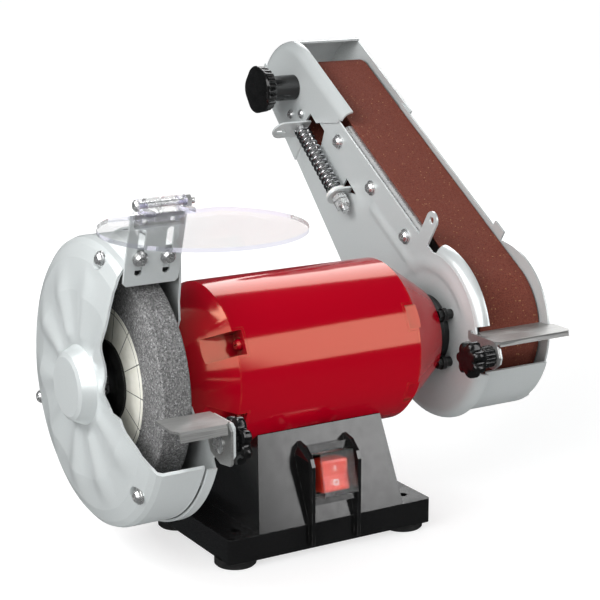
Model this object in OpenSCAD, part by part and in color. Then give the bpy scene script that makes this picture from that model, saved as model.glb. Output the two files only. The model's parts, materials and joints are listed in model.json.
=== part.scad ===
// Combination bench grinder: a 150 mm wheel on the left and a 50 x 686 mm belt sander on the right.
// X runs along the motor shaft, towards the sander. -Y is the user's side and +Z is up.
// The origin is the middle of the four bench bolt holes, at the bench surface.

/* [Base] */
// Width of the base plate
base_w = 155.2; // [150:0.2:160]
// Depth of the base plate
base_d = 112; // [110:0.5:120]
// Height of the base plate's rim
rim_h = 16.8; // [15:0.1:20]
// Height of the rubber feet
foot_h = 5.5; // [4.5:0.1:7]
// Distance between the bench bolt holes along X
bolt_x = 130; // [128:0.5:132]
// Distance between the bench bolt holes along Y
bolt_y = 81; // [78:0.5:84]
// Diameter of the bench bolt holes
bolt_d = 6.5; // [5.5:0.1:8]

/* [Motor] */
// Height of the shaft above the bench
axis_z = 123; // [121:0.5:126]
// Outer diameter of the motor barrel
barrel_d = 111; // [108:0.5:112]
// Half of the barrel's length
barrel_half = 67.5; // [66:0.5:69]
// Distance from the middle to the end of each bell
bell_x = 101; // [100:0.5:101]
// Outer diameter of a bell's end face
bell_end_d = 66; // [62:1:68]

/* [Grinding wheel] */
// Diameter of the grinding wheel
wheel_d = 150; // [146:1:152]
// Width of the grinding wheel
wheel_w = 20; // [18:1:20]
// Distance of the wheel's middle plane from the middle of the motor
wheel_x = 122.25; // [122:0.25:123]

/* [Belt sander] */
// Width of the sanding belt
belt_w = 50; // [48:0.5:50]
// Radius of the belt's outer face around the drive drum
drum_r = 49; // [48:0.1:49.5]
// Radius of the belt's outer face around the idler roller
idler_r = 17.9; // [17:0.1:18.5]
// Distance from the shaft to the idler roller, along the belt's front run
idler_t = 234; // [232:0.5:236]
// Angle of the belt's front run above the horizontal
arm_tilt = 32.1; // [20:0.1:60]

/* [Hidden] */
$fn = 64;
sheet = 1.5;
barrel_r = barrel_d / 2;
wheel_r = wheel_d / 2;
rim_top = foot_h + rim_h;
plate_z = foot_h + 0.5;

// Pedestal: half sizes at the rim and at the top, and its front slope
ped_bx = 55.4;
ped_by = 55.5;
ped_tx = 46.9;
ped_ty = 39;
ped_top = 82.8;
ped_wall = 3;
slope = atan2(ped_by - ped_ty, ped_top - rim_top);
panel_z = 52;
panel_y = -ped_by + (panel_z - rim_top) * tan(slope);
fin_x = 17.5;
fin_t = 2.6;
foot_r = 13.75;
cover_screw_x = 64;
cover_screw_y = 14;
gland_z = 44;
gland_r = 7.4;
capacitor_at = [-28, 26, 30];
capacitor_r = 13;
panel_hole = [26.4, 30.4];
rocker_tilt = 7;
rocker_depth = 2;

// Motor ends
cone_x = barrel_half + 2.5;
cone_r = barrel_r - 1.2;
bell_wall = 2.5;
bearing_x = 86;
bearing_w = 11;
bearing_r = 17.5;
shaft_r = 7.5;
stub_r = 6.3;
stack_half = 28;
rotor_r = 30;
pocket_x = 61.5;
pocket_floor = 43;
notch_floor = 53;
pocket_half = 8;
pocket_wall = 1.6;
pocket_at = 48.8;
pocket_angle = 28.5;

// Wheel flanges and labels
flange_r = 26;
label_r = 48.5;

// Wheel guard, on radii about the shaft
guard_r = 92.8;
guard_back_x = -103.5;
guard_hub_r = 26;
cover_end_x = -109.5;
guard_screw_r = 85.7;
guard_screw_x = -144;
guard_screw_angles = [103.5, 219.6, 339.8];
seat_r = 6.5;
tab_angle = 17.3;
tab_y = -44;
tab_z = 193;
spark_x = -123.5;
spark_w = 37;
spark_h = 48;
slot_gap = 18.6;
screw_z = 18.5;
hinge_z = 54.5;
shield_r = 60;
shield_y = -113;
shield_z = 238;

// Tool rests: height of each top face
wheel_rest_z = 119.5;
wheel_knob_y = -94.5;
wheel_knob_z = 103.5;
belt_rest_z = 132;
belt_knob_y = -74;
belt_knob_z = 121.5;
slot_ahead = 3;

// Belt and sander housing
belt_t = 1.2;
belt_x = 121.8;
run_sag = 0.06;
fall = drum_r - idler_r;
lean = atan2(fall, idler_t);
idler_dist = norm([idler_t, fall]);
roller_x0 = 122.6;
roller_x1 = 171;
axle_r = 5;
plate_x = 113;
cover_x = 173;
case_r = 63.5;
lug_at = [40.5, 66.5];
platen_screws = [58.1, 110.6, 163.1];
platen_screw_m = 35.6;
wrap_r = 60.3;
cover_front_r = 57.5;
rear_lean = 13.8;
plate_end = 207;
lip_r = 60;
lip_bend = 8;
head_x = 111.4;
tracking_neck = 24.8;
head_tab_x = 90;
head_tab_n = -10.5;
head_tab_half = 8;
head_screw_points = [[226, 11], [214, 21]];
head_far_x = 174.6;
head_far_front = 53.5;
head_end = 170;
head_top_r = 42;
head_mid = [239, 18];
spring_x = 105;
spring_n = -7.9;
spring_lo = 136.2;
spring_hi = 202;
tension_bolt_r = 2.95;
spigot_r = 20;
clamp_r = 31;
clamp_bolt_r = 2.5;
clamp_angles = [33, 147, 213, 327];

// ---------- helpers ----------

// Extrudes a drawing in Y and Z along X
module along_x(x, length) {
  translate([x, 0, 0]) rotate([90, 0, 90]) linear_extrude(height = length) children();
}

// A cylinder along X, centred on Y = 0 and Z = 0
module rod_x(x, length, r) {
  translate([x, 0, 0]) rotate([0, 90, 0]) cylinder(h = length, r = r);
}

// Turns a profile of [radius, x] points about X
module turn_x(profile) {
  rotate([0, 90, 0]) rotate_extrude($fn = 96) polygon(profile);
}

// The shaft's line
module on_axis() {
  translate([0, 0, axis_z]) children();
}

// Sander frame: Y along the belt's front run, Z out of its face
module arm_frame() {
  on_axis() rotate([arm_tilt, 0, 0]) children();
}

// Tension frame: Y from the shaft towards the idler roller
module slide_frame() {
  arm_frame() rotate([lean, 0, 0]) children();
}

// Spark bracket frame: Z up the plate, Y into it
module spark_frame() {
  translate([spark_x, tab_y, tab_z]) rotate([tab_angle, 0, 0]) children();
}

// Switch frame: Y up the slope, Z out of it
module panel_frame() {
  translate([0, panel_y, panel_z]) rotate([90 - slope, 0, 0]) children();
}

module mirror_copy(v) {
  children();
  mirror(v) children();
}

module four_corners(dx, dy) {
  for (sx = [-1, 1], sy = [-1, 1]) translate([sx * dx, sy * dy, 0]) children();
}

module round_rect(w, d, r) {
  square([w - 2 * r, d], center = true);
  square([w, d - 2 * r], center = true);
  for (sx = [-1, 1], sy = [-1, 1]) translate([sx * (w / 2 - r), sy * (d / 2 - r)]) circle(r);
}

// A slot along the first axis, with round ends
module slot(length, w) {
  square([length - w, w], center = true);
  for (s = [-1, 1]) translate([s * (length - w) / 2, 0]) circle(w / 2);
}

// A washer-faced pan head with a cross recess, its seat at z = 0 and its top up Z
module pan_head(r, h) {
  difference() {
    union() {
      cylinder(h = h * 0.5, r = r);
      translate([0, 0, h * 0.5]) cylinder(h = h * 0.5, r1 = r, r2 = r * 0.7);
    }
    for (a = [0, 90]) rotate(a) translate([-r * 0.6, -r * 0.11, h * 0.5]) cube([r * 1.2, r * 0.22, h]);
  }
}

// A plain nut along Z with its bore
module nut(across, h, bore_r) {
  difference() {
    cylinder(h = h, r = across / sqrt(3), $fn = 6);
    translate([0, 0, -1]) cylinder(h = h + 2, r = bore_r);
  }
}

// A clamp knob with round lobes, its seat at z = 0: neck, then the head
module lobed_knob(head_r, head_h, neck_r, neck_h, bore_r) {
  lobe_r = head_r * 0.32;
  linear_extrude(height = neck_h) difference() {
    circle(neck_r);
    circle(bore_r);
  }
  translate([0, 0, neck_h]) linear_extrude(height = head_h) {
    circle(head_r * 0.72);
    for (i = [0:5]) rotate(i * 60 + 30) translate([head_r - lobe_r, 0]) circle(lobe_r);
  }
}

// ---------- base ----------

// The pedestal's block, shrunk by a wall
module pedestal_block(wall, z0, z1) {
  front = ped_by - wall;
  side = ped_bx - wall;
  dy = (ped_by - ped_ty) / (ped_top - rim_top);
  dx = (ped_bx - ped_tx) / (ped_top - rim_top);
  intersection() {
    along_x(-100, 200) polygon([
      [-front + (z0 - rim_top) * dy, z0], [front - (z0 - rim_top) * dy, z0],
      [front - (z1 - rim_top) * dy, z1], [-front + (z1 - rim_top) * dy, z1]
    ]);
    rotate([90, 0, 0]) translate([0, 0, -100]) linear_extrude(height = 200) polygon([
      [-side + (z0 - rim_top) * dx, z0], [side - (z0 - rim_top) * dx, z0],
      [side - (z1 - rim_top) * dx, z1], [-side + (z1 - rim_top) * dx, z1]
    ]);
  }
}

// One guard fin beside the switch: a blade and the flare at its outer side
module switch_fin() {
  fin_corners = [
    [16.6, -40.6, 74.4], [21.9, -42.2, 67.4], [17.9, -54.6, 24], [18.2, -57, 64], [18.2, -59, 24]
  ];
  along_x(fin_x - fin_t / 2, fin_t) polygon([
    [-39.6, 75.2], [-50, 73.2], [-57.6, 67], [-60, 62], [-60, 9], [-59, 7.6], [-55, 7.6], [-54.4, 24]
  ]);
  hull() {
    for (p = fin_corners) translate(p) cube(0.4);
  }
}

module base_shell() {
  color([0.05, 0.05, 0.055]) difference() {
    union() {
      difference() {
        union() {
          translate([0, 0, foot_h]) linear_extrude(height = rim_h) round_rect(base_w, base_d, 3);
          pedestal_block(0, rim_top - 0.5, ped_top);
          mirror_copy([1, 0, 0]) switch_fin();
        }
        translate([0, 0, foot_h - 1]) linear_extrude(height = rim_h - 2) {
          round_rect(base_w - 6, base_d - 6, 2);
        }
        difference() {
          pedestal_block(ped_wall, rim_top - 4, ped_top + 5);
          on_axis() rod_x(-100, 200, barrel_r + 3.3);
        }
      }
      four_corners(bolt_x / 2, bolt_y / 2) translate([0, 0, foot_h]) cylinder(h = rim_h - 1, r = 7);
      four_corners(cover_screw_x, cover_screw_y) {
        translate([0, 0, foot_h + 1.8]) cylinder(h = rim_h - 3, r = 4);
      }
    }
    on_axis() rod_x(-100, 200, barrel_r + 0.1);
    four_corners(bolt_x / 2, bolt_y / 2) cylinder(h = 60, r = bolt_d / 2);
    four_corners(cover_screw_x, cover_screw_y) cylinder(h = rim_top - 6, r = 1.5);
    panel_frame() translate([0, 0, -8]) linear_extrude(height = 9) square(panel_hole, center = true);
    translate([0, ped_by - 12, gland_z]) rotate([-90, 0, 0]) cylinder(h = 24, r = gland_r + 0.2);
    translate([0, 0, axis_z - barrel_r - 9]) cylinder(h = 20, r = 8);
  }
}

module base_bottom_plate() {
  color([0.45, 0.46, 0.47]) translate([0, 0, plate_z]) difference() {
    linear_extrude(height = 1.2) round_rect(base_w - 6.6, base_d - 6.6, 2);
    four_corners(bolt_x / 2, bolt_y / 2) translate([0, 0, -1]) cylinder(h = 4, r = 7.4);
    four_corners(cover_screw_x, cover_screw_y) translate([0, 0, -1]) cylinder(h = 4, r = 2);
    for (i = [-3:3]) translate([i * 9, 0, -1]) linear_extrude(height = 4) rotate(90) slot(40, 4);
  }
}

module rubber_feet() {
  color([0.03, 0.03, 0.03]) four_corners(bolt_x / 2, bolt_y / 2) difference() {
    union() {
      cylinder(h = 1, r1 = foot_r - 1, r2 = foot_r);
      translate([0, 0, 1]) cylinder(h = foot_h - 1, r = foot_r);
    }
    translate([0, 0, -1]) cylinder(h = foot_h + 2, r = bolt_d / 2);
  }
}

module base_screws() {
  color([0.75, 0.76, 0.78]) four_corners(cover_screw_x, cover_screw_y) translate([0, 0, plate_z]) {
    mirror([0, 0, 1]) pan_head(3.2, 2);
    cylinder(h = 10, r = 1.48);
  }
}

// Cable entry in the rear wall of the pedestal, with an open bore
module cable_gland() {
  color([0.04, 0.04, 0.04]) translate([0, 0, gland_z]) rotate([-90, 0, 0]) difference() {
    union() {
      translate([0, 0, 39]) cylinder(h = 16, r = gland_r);
      translate([0, 0, 52.6]) cylinder(h = 3.4, r = 10);
      translate([0, 0, 55.9]) cylinder(h = 9, r1 = 8, r2 = 6);
      translate([0, 0, 41]) cylinder(h = 2.5, r = 9.6);
    }
    cylinder(h = 80, r = 3.6);
  }
}

module run_capacitor() {
  color([0.85, 0.86, 0.84]) translate(capacitor_at) {
    rotate([0, 90, 0]) cylinder(h = 52, r = capacitor_r);
    translate([52, 0, 0]) rotate([0, 90, 0]) cylinder(h = 4, r = 9);
  }
}

module capacitor_clip() {
  inner = capacitor_r + 0.05;
  outer = capacitor_r + 1.2;
  color([0.7, 0.71, 0.72]) translate(capacitor_at + [22, 0, 0]) difference() {
    union() {
      rotate([0, 90, 0]) cylinder(h = 12, r = outer);
      translate([0, -outer, -22.8]) cube([12, 2 * outer, 22.8]);
    }
    translate([-1, 0, 0]) rotate([0, 90, 0]) cylinder(h = 14, r = inner);
    translate([-1, -inner, -21.6]) cube([14, 2 * inner, 21.6]);
  }
}

// ---------- switch ----------

module switch_body() {
  color([0.08, 0.08, 0.08]) panel_frame() difference() {
    union() {
      translate([-12.8, -14.5, -27]) cube([25.6, 29, 28]);
      for (x = [-7, 0, 7]) translate([x - 0.4, -3, -34]) cube([0.8, 6, 8]);
    }
    translate([-10.6, -12.8, -12]) cube([21.2, 25.6, 14]);
  }
}

module switch_bezel() {
  color([0.04, 0.04, 0.04]) panel_frame() difference() {
    union() {
      translate([-16, -19.4, 0.1]) cube([32, 38.8, 3.4]);
      translate([-16, 14.6, 0.1]) cube([32, 4.8, 5.4]);
      translate([-16, -19.4, 0.1]) cube([32, 4.8, 5.4]);
    }
    translate([-13, -14.6, -1]) cube([26, 29.2, 8]);
  }
}

// The rocker turns about X and rests with its upper end out
module switch_rocker() {
  color([0.75, 0.1, 0.06]) panel_frame() translate([0, 0, -rocker_depth]) rotate([rocker_tilt, 0, 0]) {
    along_x(-9.2, 18.4) polygon([
      [-10.4, -1], [-7, -6.5], [7, -6.5], [10.4, -1], [10.2, 12.6], [8.6, 13.2], [0, 12.2], [-8.6, 13.2],
      [-10.2, 12.6]
    ]);
    rod_x(-10.4, 20.8, 1.2);
  }
}

// A clear splash cover around the rocker
module switch_cover() {
  color([0.9, 0.93, 0.95, 0.4]) panel_frame() difference() {
    translate([-12.8, -14.4, 1.2]) cube([25.6, 28.8, 14.6]);
    translate([-11.9, -13.5, 0]) cube([23.8, 27, 15]);
  }
}

// ---------- motor ----------

module motor_barrel() {
  color([0.66, 0.03, 0.06]) on_axis() difference() {
    rod_x(-barrel_half, 2 * barrel_half, barrel_r);
    rod_x(-barrel_half - 1, 2 * barrel_half + 2, barrel_r - 2);
    mirror_copy([1, 0, 0]) {
      pocket_blocks(pocket_x - pocket_wall - 0.1, pocket_floor, pocket_half + pocket_wall + 0.1);
    }
    translate([0, 0, -barrel_r - 5]) cylinder(h = 10, r = 7);
  }
}

// The bell's outside as [radius, x], ahead of the points that close it
function bell_outside() = [[barrel_r, barrel_half + 0.8], [cone_r, cone_x], [bell_end_d / 2, bell_x]];

// The bell filled up to the shaft's line, to trim the walls and bosses inside it
module bell_inside() {
  turn_x(concat([[0, pocket_x - 5], [barrel_r, pocket_x - 5]], bell_outside(), [[0, bell_x]]));
}

// A block at each screw pocket: from x0 to past the bell's end, from radius r0 outwards, and w to each side
module pocket_blocks(x0, r0, w) {
  for (a = bell_angles()) rotate([a, 0, 0]) translate([x0, r0, -w]) cube([bell_x + 1 - x0, barrel_r, 2 * w]);
}

// An end bell: a cone with a bearing seat inside, and an open pocket at each screw down to pocket_r
module end_bell(pocket_r) {
  inner_r = cone_r - bell_wall;
  difference() {
    union() {
      turn_x(concat([[barrel_r, barrel_half + 0.05]], bell_outside(), [
        [9, bell_x], [9, bell_x - 3], [bearing_r + 0.02, bell_x - 3], [bearing_r + 0.02, bearing_x],
        [bearing_r + 3, bearing_x], [bearing_r + 3, bell_x - 3.5], [bell_end_d / 2 - 2.5, bell_x - 3.5],
        [inner_r, cone_x - 0.5], [barrel_r - bell_wall, barrel_half + 0.05]
      ]));
      intersection() {
        pocket_blocks(pocket_x - pocket_wall, pocket_r - pocket_wall, pocket_half + pocket_wall);
        bell_inside();
      }
      children();
    }
    pocket_blocks(pocket_x, pocket_r, pocket_half);
  }
}

function bell_angles() = [pocket_angle, 180 - pocket_angle, 180 + pocket_angle, -pocket_angle];

// The right bell has shallow notches over bosses that take the screws' ends
module end_bell_right() {
  color([0.66, 0.03, 0.06]) on_axis() difference() {
    end_bell(notch_floor) intersection() {
      for (a = bell_angles()) rotate([a, 0, 0]) translate([0, pocket_at, 0]) rod_x(pocket_x - 0.5, 22, 4.6);
      bell_inside();
    }
    for (a = bell_angles()) rotate([a, 0, 0]) translate([0, pocket_at, 0]) rod_x(pocket_x - 5, 11, 2.05);
  }
}

// The left bell has deep pockets for the screws' heads and a raised ring for the guard's back plate
module end_bell_left() {
  ring_x = 1 - guard_back_x - sheet - 1.02;
  color([0.66, 0.03, 0.06]) mirror([1, 0, 0]) on_axis() difference() {
    end_bell(pocket_floor) turn_x([[21.5, bell_x - 1], [31, bell_x - 1], [31, ring_x], [21.5, ring_x]]);
    for (a = bell_angles()) rotate([a, 0, 0]) translate([0, pocket_at, 0]) rod_x(pocket_x - 5, 10, 2.2);
    for (a = [45:90:315]) rotate([a, 0, 0]) translate([0, guard_hub_r, 0]) rod_x(bell_x - 6, 12, 2.05);
  }
}

// Four long screws pull both bells onto the barrel
module bell_screws() {
  color([0.7, 0.7, 0.72]) mirror([1, 0, 0]) on_axis() for (a = bell_angles()) {
    rotate([a, 0, 0]) translate([pocket_x + 0.05, pocket_at, 0]) rotate([0, 90, 0]) {
      pan_head(3.8, 3.5);
      translate([0, 0, -127]) cylinder(h = 127.1, r = 2);
    }
  }
}

// Laminated ring with winding slots
module stator_core() {
  color([0.5, 0.51, 0.53]) on_axis() difference() {
    rod_x(-stack_half, 2 * stack_half, barrel_r - 7.4);
    rod_x(-30, 60, rotor_r + 0.6);
    for (i = [0:11]) rotate([i * 30, 0, 0]) translate([-30, 29, -2.5]) cube([60, 12, 5]);
    for (a = bell_angles()) rotate([a, 0, 0]) translate([0, pocket_at, 0]) rod_x(-30, 60, 2.3);
  }
}

// End turns at both ends, and one bundle in each slot
module stator_windings() {
  color([0.72, 0.36, 0.14]) on_axis() {
    mirror_copy([1, 0, 0]) difference() {
      rod_x(stack_half + 0.1, 14, 42);
      rod_x(27, 17, 33);
    }
    for (i = [0:11]) rotate([i * 30, 0, 0]) translate([-29, 33.4, -2.3]) cube([58, 7.4, 4.6]);
  }
}

module bearing_outer_rings() {
  color([0.8, 0.81, 0.83]) mirror_copy([1, 0, 0]) on_axis() turn_x([
    [bearing_r, bearing_x + 0.5], [bearing_r, bearing_x + bearing_w], [14.8, bearing_x + bearing_w],
    [14.8, bearing_x + 0.5]
  ]);
}

module bearing_balls() {
  color([0.85, 0.86, 0.88]) mirror_copy([1, 0, 0]) on_axis() for (i = [0:7]) {
    rotate([i * 45, 0, 0]) translate([bearing_x + bearing_w / 2, 12.4, 0]) sphere(r = 2.3, $fn = 32);
  }
}

module bearing_inner_rings() {
  color([0.8, 0.81, 0.83]) mirror_copy([1, 0, 0]) on_axis() turn_x([
    [10, bearing_x + 0.5], [10, bearing_x + bearing_w], [shaft_r + 0.02, bearing_x + bearing_w],
    [shaft_r + 0.02, bearing_x + 0.5]
  ]);
}

module rotor_core() {
  color([0.55, 0.56, 0.58]) on_axis() difference() {
    union() {
      rod_x(-stack_half, 2 * stack_half, rotor_r);
      mirror_copy([1, 0, 0]) rod_x(27, 6, 28);
    }
    rod_x(-40, 80, shaft_r + 0.02);
  }
}

// One stepped shaft through the wheel, the motor and the drum
module shaft() {
  color([0.75, 0.76, 0.78]) on_axis() turn_x([
    [0, -149.5], [stub_r - 1, -149.5], [stub_r, -148.5], [stub_r, -107.9], [shaft_r, -107.9],
    [shaft_r, 122], [stub_r, 122], [stub_r, 167], [stub_r - 1, 168], [0, 168]
  ]);
}

// ---------- wheel ----------

module wheel_inner_flange() {
  color([0.12, 0.12, 0.13]) on_axis() turn_x([
    [stub_r + 0.02, -108], [stub_r + 0.02, -111.85], [flange_r, -111.85], [flange_r, -110.6],
    [flange_r - 4, -108]
  ]);
}

module wheel_outer_flange() {
  color([0.06, 0.06, 0.065]) on_axis() turn_x([
    [stub_r + 0.02, -136.6], [stub_r + 0.02, -132.65], [flange_r, -132.65], [flange_r, -134],
    [flange_r - 4, -136.6]
  ]);
}

module grinding_wheel() {
  edge = 1.2;
  x0 = -wheel_x - wheel_w / 2;
  x1 = -wheel_x + wheel_w / 2;
  color([0.42, 0.42, 0.42]) on_axis() turn_x([
    [stub_r + 0.05, x0], [wheel_r - edge, x0], [wheel_r, x0 + edge], [wheel_r, x1 - edge],
    [wheel_r - edge, x1], [stub_r + 0.05, x1]
  ]);
}

// A paper ring under each flange
module wheel_labels() {
  color([0.85, 0.84, 0.78]) on_axis() for (x = [-132.62, -112.22]) difference() {
    rod_x(x, 0.34, label_r);
    rod_x(x - 1, 3, stub_r + 0.3);
  }
}

module wheel_nut() {
  color([0.6, 0.61, 0.62]) on_axis() translate([-146, 0, 0]) rotate([0, 90, 0]) nut(19, 9.3, stub_r + 0.02);
}

// ---------- guard ----------

// Where the guard is cut open for the work, in Y and in Z above the shaft
module guard_opening() {
  polygon([
    [-43, 130], [-43, 70], [-40.5, 56], [-41, 44], [-36, 35], [-35.5, 24], [-37, 9], [-41, -4], [-44, -7],
    [-55, -8], [-61, -15], [-71.5, -22], [-82, -32], [-85, -38], [-130, -52], [-130, 130]
  ]);
}

// Back plate with a rim, and the arm that carries the tool rest
module guard_back() {
  rim_r = guard_r + 2;
  color([0.76, 0.79, 0.8]) on_axis() difference() {
    union() {
      difference() {
        rod_x(cover_end_x + 1, guard_back_x + sheet - cover_end_x - 1, rim_r);
        rod_x(cover_end_x - 1, guard_back_x - cover_end_x + 1, rim_r - sheet);
        along_x(cover_end_x - 2, 12) guard_opening();
      }
      along_x(guard_back_x, sheet) polygon([
        [-70, -32], [-79, -36.5], [-86, -30], [-106, -28], [-110, -24], [-110, -6.5], [-107, -4],
        [-84, -4], [-78, -14], [-45, -18], [-42, -24]
      ]);
    }
    rod_x(guard_back_x - 1, 5, 21);
    for (a = [45:90:315]) rotate([a, 0, 0]) translate([0, guard_hub_r, 0]) rod_x(guard_back_x - 1, 5, 2.2);
    translate([0, wheel_knob_y, wheel_knob_z - axis_z]) rod_x(guard_back_x - 1, 5, 3.1);
  }
}

// The pressed cover's outside as [radius, x], from the boss to the open edge
function cover_outside() = [
  [0, -162], [19, -162], [21.5, -160.5], [25.5, -152], [60, -151.5], [80, -148], [88, -144.5],
  [91.6, -141.5], [guard_r, -138], [guard_r, cover_end_x]
];

// Pressed cover: a domed face with a boss, a band round the wheel, sunk screw seats and the spark tab
module guard_cover() {
  t = sheet;
  color([0.76, 0.79, 0.8]) {
    on_axis() difference() {
      union() {
        turn_x(concat(cover_outside(), [
          [guard_r - t, cover_end_x], [guard_r - t, -137.6], [90.4, -140.6], [87.4, -143.1], [79.7, -146.5],
          [59.9, -150], [24.6, -150.5], [20.2, -159.6], [18.7, -160.5], [0, -160.5]
        ]));
        intersection() {
          for (a = guard_screw_angles) rotate([a, 0, 0]) translate([0, guard_screw_r, 0]) {
            rod_x(-150, 150 + guard_screw_x + t, seat_r + 1);
          }
          turn_x(concat(cover_outside(), [[0, cover_end_x]]));
        }
      }
      along_x(-170, 70) guard_opening();
      for (a = guard_screw_angles) rotate([a, 0, 0]) translate([0, guard_screw_r, 0]) {
        rod_x(-170, 170 + guard_screw_x, seat_r);
        rod_x(-170, 40, 2.3);
      }
    }
    spark_frame() difference() {
      along_x(-14, 28) polygon([[1.6, 25], [1.6, 9.6], [6, 10.2], [6, 11.7], [3.1, 11.5], [3.1, 25]]);
      for (s = [-1, 1]) translate([s * slot_gap / 2, 0, screw_z]) {
        rotate([-90, 0, 0]) cylinder(h = 5, r = 2.3);
      }
    }
  }
}

// Three long screws with washers pull the cover onto the back plate; four short ones hold that to the motor
module guard_screws() {
  color([0.8, 0.81, 0.83]) on_axis() for (a = guard_screw_angles) {
    rotate([a, 0, 0]) translate([guard_screw_x, guard_screw_r, 0]) rotate([0, -90, 0]) {
      cylinder(h = 1, r = 5);
      translate([0, 0, 1]) pan_head(4.2, 3);
      translate([0, 0, -40.4]) cylinder(h = 40.5, r = 2);
    }
  }
  color([0.8, 0.81, 0.83]) on_axis() for (a = [45:90:315]) {
    rotate([a, 0, 0]) translate([guard_back_x - 0.05, guard_hub_r, 0]) {
      rotate([0, -90, 0]) pan_head(3.8, 2.4);
      rod_x(-0.1, 8, 2);
    }
  }
}

module spark_screws() {
  color([0.8, 0.81, 0.83]) spark_frame() for (s = [-1, 1]) {
    translate([s * slot_gap / 2, -0.1, screw_z]) rotate([90, 0, 0]) {
      cylinder(h = 0.8, r = 5);
      translate([0, 0, 0.8]) pan_head(4.4, 3);
      translate([0, 0, -8]) cylinder(h = 8, r = 2.2);
      translate([0, 0, -7.2]) nut(7, 4, 2.2);
    }
  }
}

// Slotted plate that carries the eye shield and stops sparks above the wheel
module spark_bracket() {
  color([0.76, 0.79, 0.8]) spark_frame() difference() {
    rotate([90, 0, 0]) translate([0, 0, -sheet]) linear_extrude(height = sheet) polygon([
      [-spark_w / 2, 2], [2 - spark_w / 2, 0], [spark_w / 2 - 2, 0], [spark_w / 2, 2],
      [spark_w / 2, spark_h], [-spark_w / 2, spark_h]
    ]);
    for (s = [-1, 1]) translate([s * slot_gap / 2, -1, 22.3]) rotate([-90, -90, 0]) {
      linear_extrude(height = 4) slot(31.5, 5);
    }
    for (s = [-1, 1]) translate([s * slot_gap / 2, -1, 43.5]) {
      rotate([-90, 0, 0]) cylinder(h = 4, r = 1.6);
    }
  }
}

// Clear block on the bracket's top edge, with the hinge's two inner knuckles
module shield_hinge() {
  color([0.9, 0.93, 0.95, 0.4]) spark_frame() {
    translate([-16, -2.5, 40.4]) difference() {
      cube([32, 6.5, 8.9]);
      translate([-1, 2.4, -1]) cube([34, 1.7, 8.7]);
    }
    difference() {
      for (x = [-10.5, 1.5]) {
        translate([0, 0, hinge_z]) rod_x(x, 9.2, 4);
        translate([x, -2.5, 48]) cube([9.2, 6.5, 6]);
      }
      translate([0, 0, hinge_z]) rod_x(-20, 40, 2.06);
    }
  }
}

module shield_hinge_screw() {
  color([0.8, 0.81, 0.83]) spark_frame() translate([0, 0, hinge_z]) {
    translate([-15.5, 0, 0]) rotate([0, -90, 0]) pan_head(3.6, 2.2);
    rod_x(-15.6, 37.4, 2);
    translate([15.7, 0, 0]) rotate([0, 90, 0]) nut(7, 3.2, 2);
  }
}

// Clear disc with a straight back edge and two outer knuckles on the hinge line
module eye_shield() {
  hinge_y = tab_y - sin(tab_angle) * hinge_z;
  hinge_abs_z = tab_z + cos(tab_angle) * hinge_z;
  color([0.88, 0.9, 0.95, 0.35]) difference() {
    union() {
      intersection() {
        translate([spark_x, shield_y, shield_z]) cylinder(h = 2.5, r = shield_r, $fn = 128);
        translate([spark_x - 70, -200, shield_z - 1]) cube([140, 200 - 65.5, 6]);
      }
      for (x = [-15.3, 10.9]) translate([spark_x + x, 0, 0]) {
        translate([0, hinge_y, hinge_abs_z]) rod_x(0, 4.5, 4);
        translate([0, -75, shield_z + 2]) cube([4.5, 14.6, 3.4]);
        translate([0, hinge_y - 4.6, shield_z + 2]) cube([4.5, 4.6, 7]);
      }
    }
    translate([spark_x, hinge_y, hinge_abs_z]) rod_x(-30, 60, 2.06);
  }
}

// ---------- wheel tool rest ----------

module wheel_rest() {
  x1 = guard_back_x - 0.1;
  z = wheel_rest_z;
  color([0.7, 0.71, 0.7]) difference() {
    union() {
      translate([x1 - 36.4, 0, z - sheet]) linear_extrude(height = sheet) {
        polygon([[0, -81], [36.4, -81], [36.4, -104], [33, -108.6], [1.5, -108.6], [-1.5, -103]]);
      }
      along_x(x1 - 35, 31) polygon([
        [-108.6, z], [-110.4, z - 1.4], [-111, z - 6], [-109.6, z - 6], [-109, z - 2], [-108, z - sheet]
      ]);
      along_x(x1 - sheet, sheet) polygon([
        [-81, z], [-105, z], [-109.5, z - 5], [-110, z - 25], [-108, z - 27], [-96, z - 28.5],
        [-84, z - 24], [-81, z - 18]
      ]);
    }
    translate([0, wheel_knob_y + slot_ahead, wheel_knob_z]) along_x(x1 - 5, 10) slot(16.4, 6.2);
  }
}

// Carriage bolt through the rest and the arm, fixed in the arm
module wheel_rest_bolt() {
  color([0.8, 0.81, 0.83]) translate([guard_back_x, wheel_knob_y, wheel_knob_z]) {
    translate([-1.7, 0, 0]) rotate([0, -90, 0]) {
      cylinder(h = 1, r = 6.4);
      translate([0, 0, 1]) cylinder(h = 1.2, r1 = 6.4, r2 = 4);
    }
    rod_x(-1.8, 9.2, 3);
  }
}

module wheel_rest_knob() {
  color([0.03, 0.03, 0.03]) translate([guard_back_x + sheet + 0.1, wheel_knob_y, wheel_knob_z]) {
    rotate([0, 90, 0]) lobed_knob(15.4, 7.4, 8, 6, 3.05);
  }
}

// ---------- sander mounting ----------

// Turned hub on the motor's right bell: the sander plate turns on its spigot
module arm_hub() {
  color([0.1, 0.1, 0.1]) on_axis() turn_x([
    [8.5, bell_x + 0.02], [25, bell_x + 0.02], [25, 103.6], [spigot_r, 103.6], [spigot_r, 108.2], [25, 108.2],
    [25, plate_x - 0.1], [spigot_r, plate_x - 0.1], [spigot_r, 115.4], [8.5, 115.4]
  ]);
}

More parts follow.
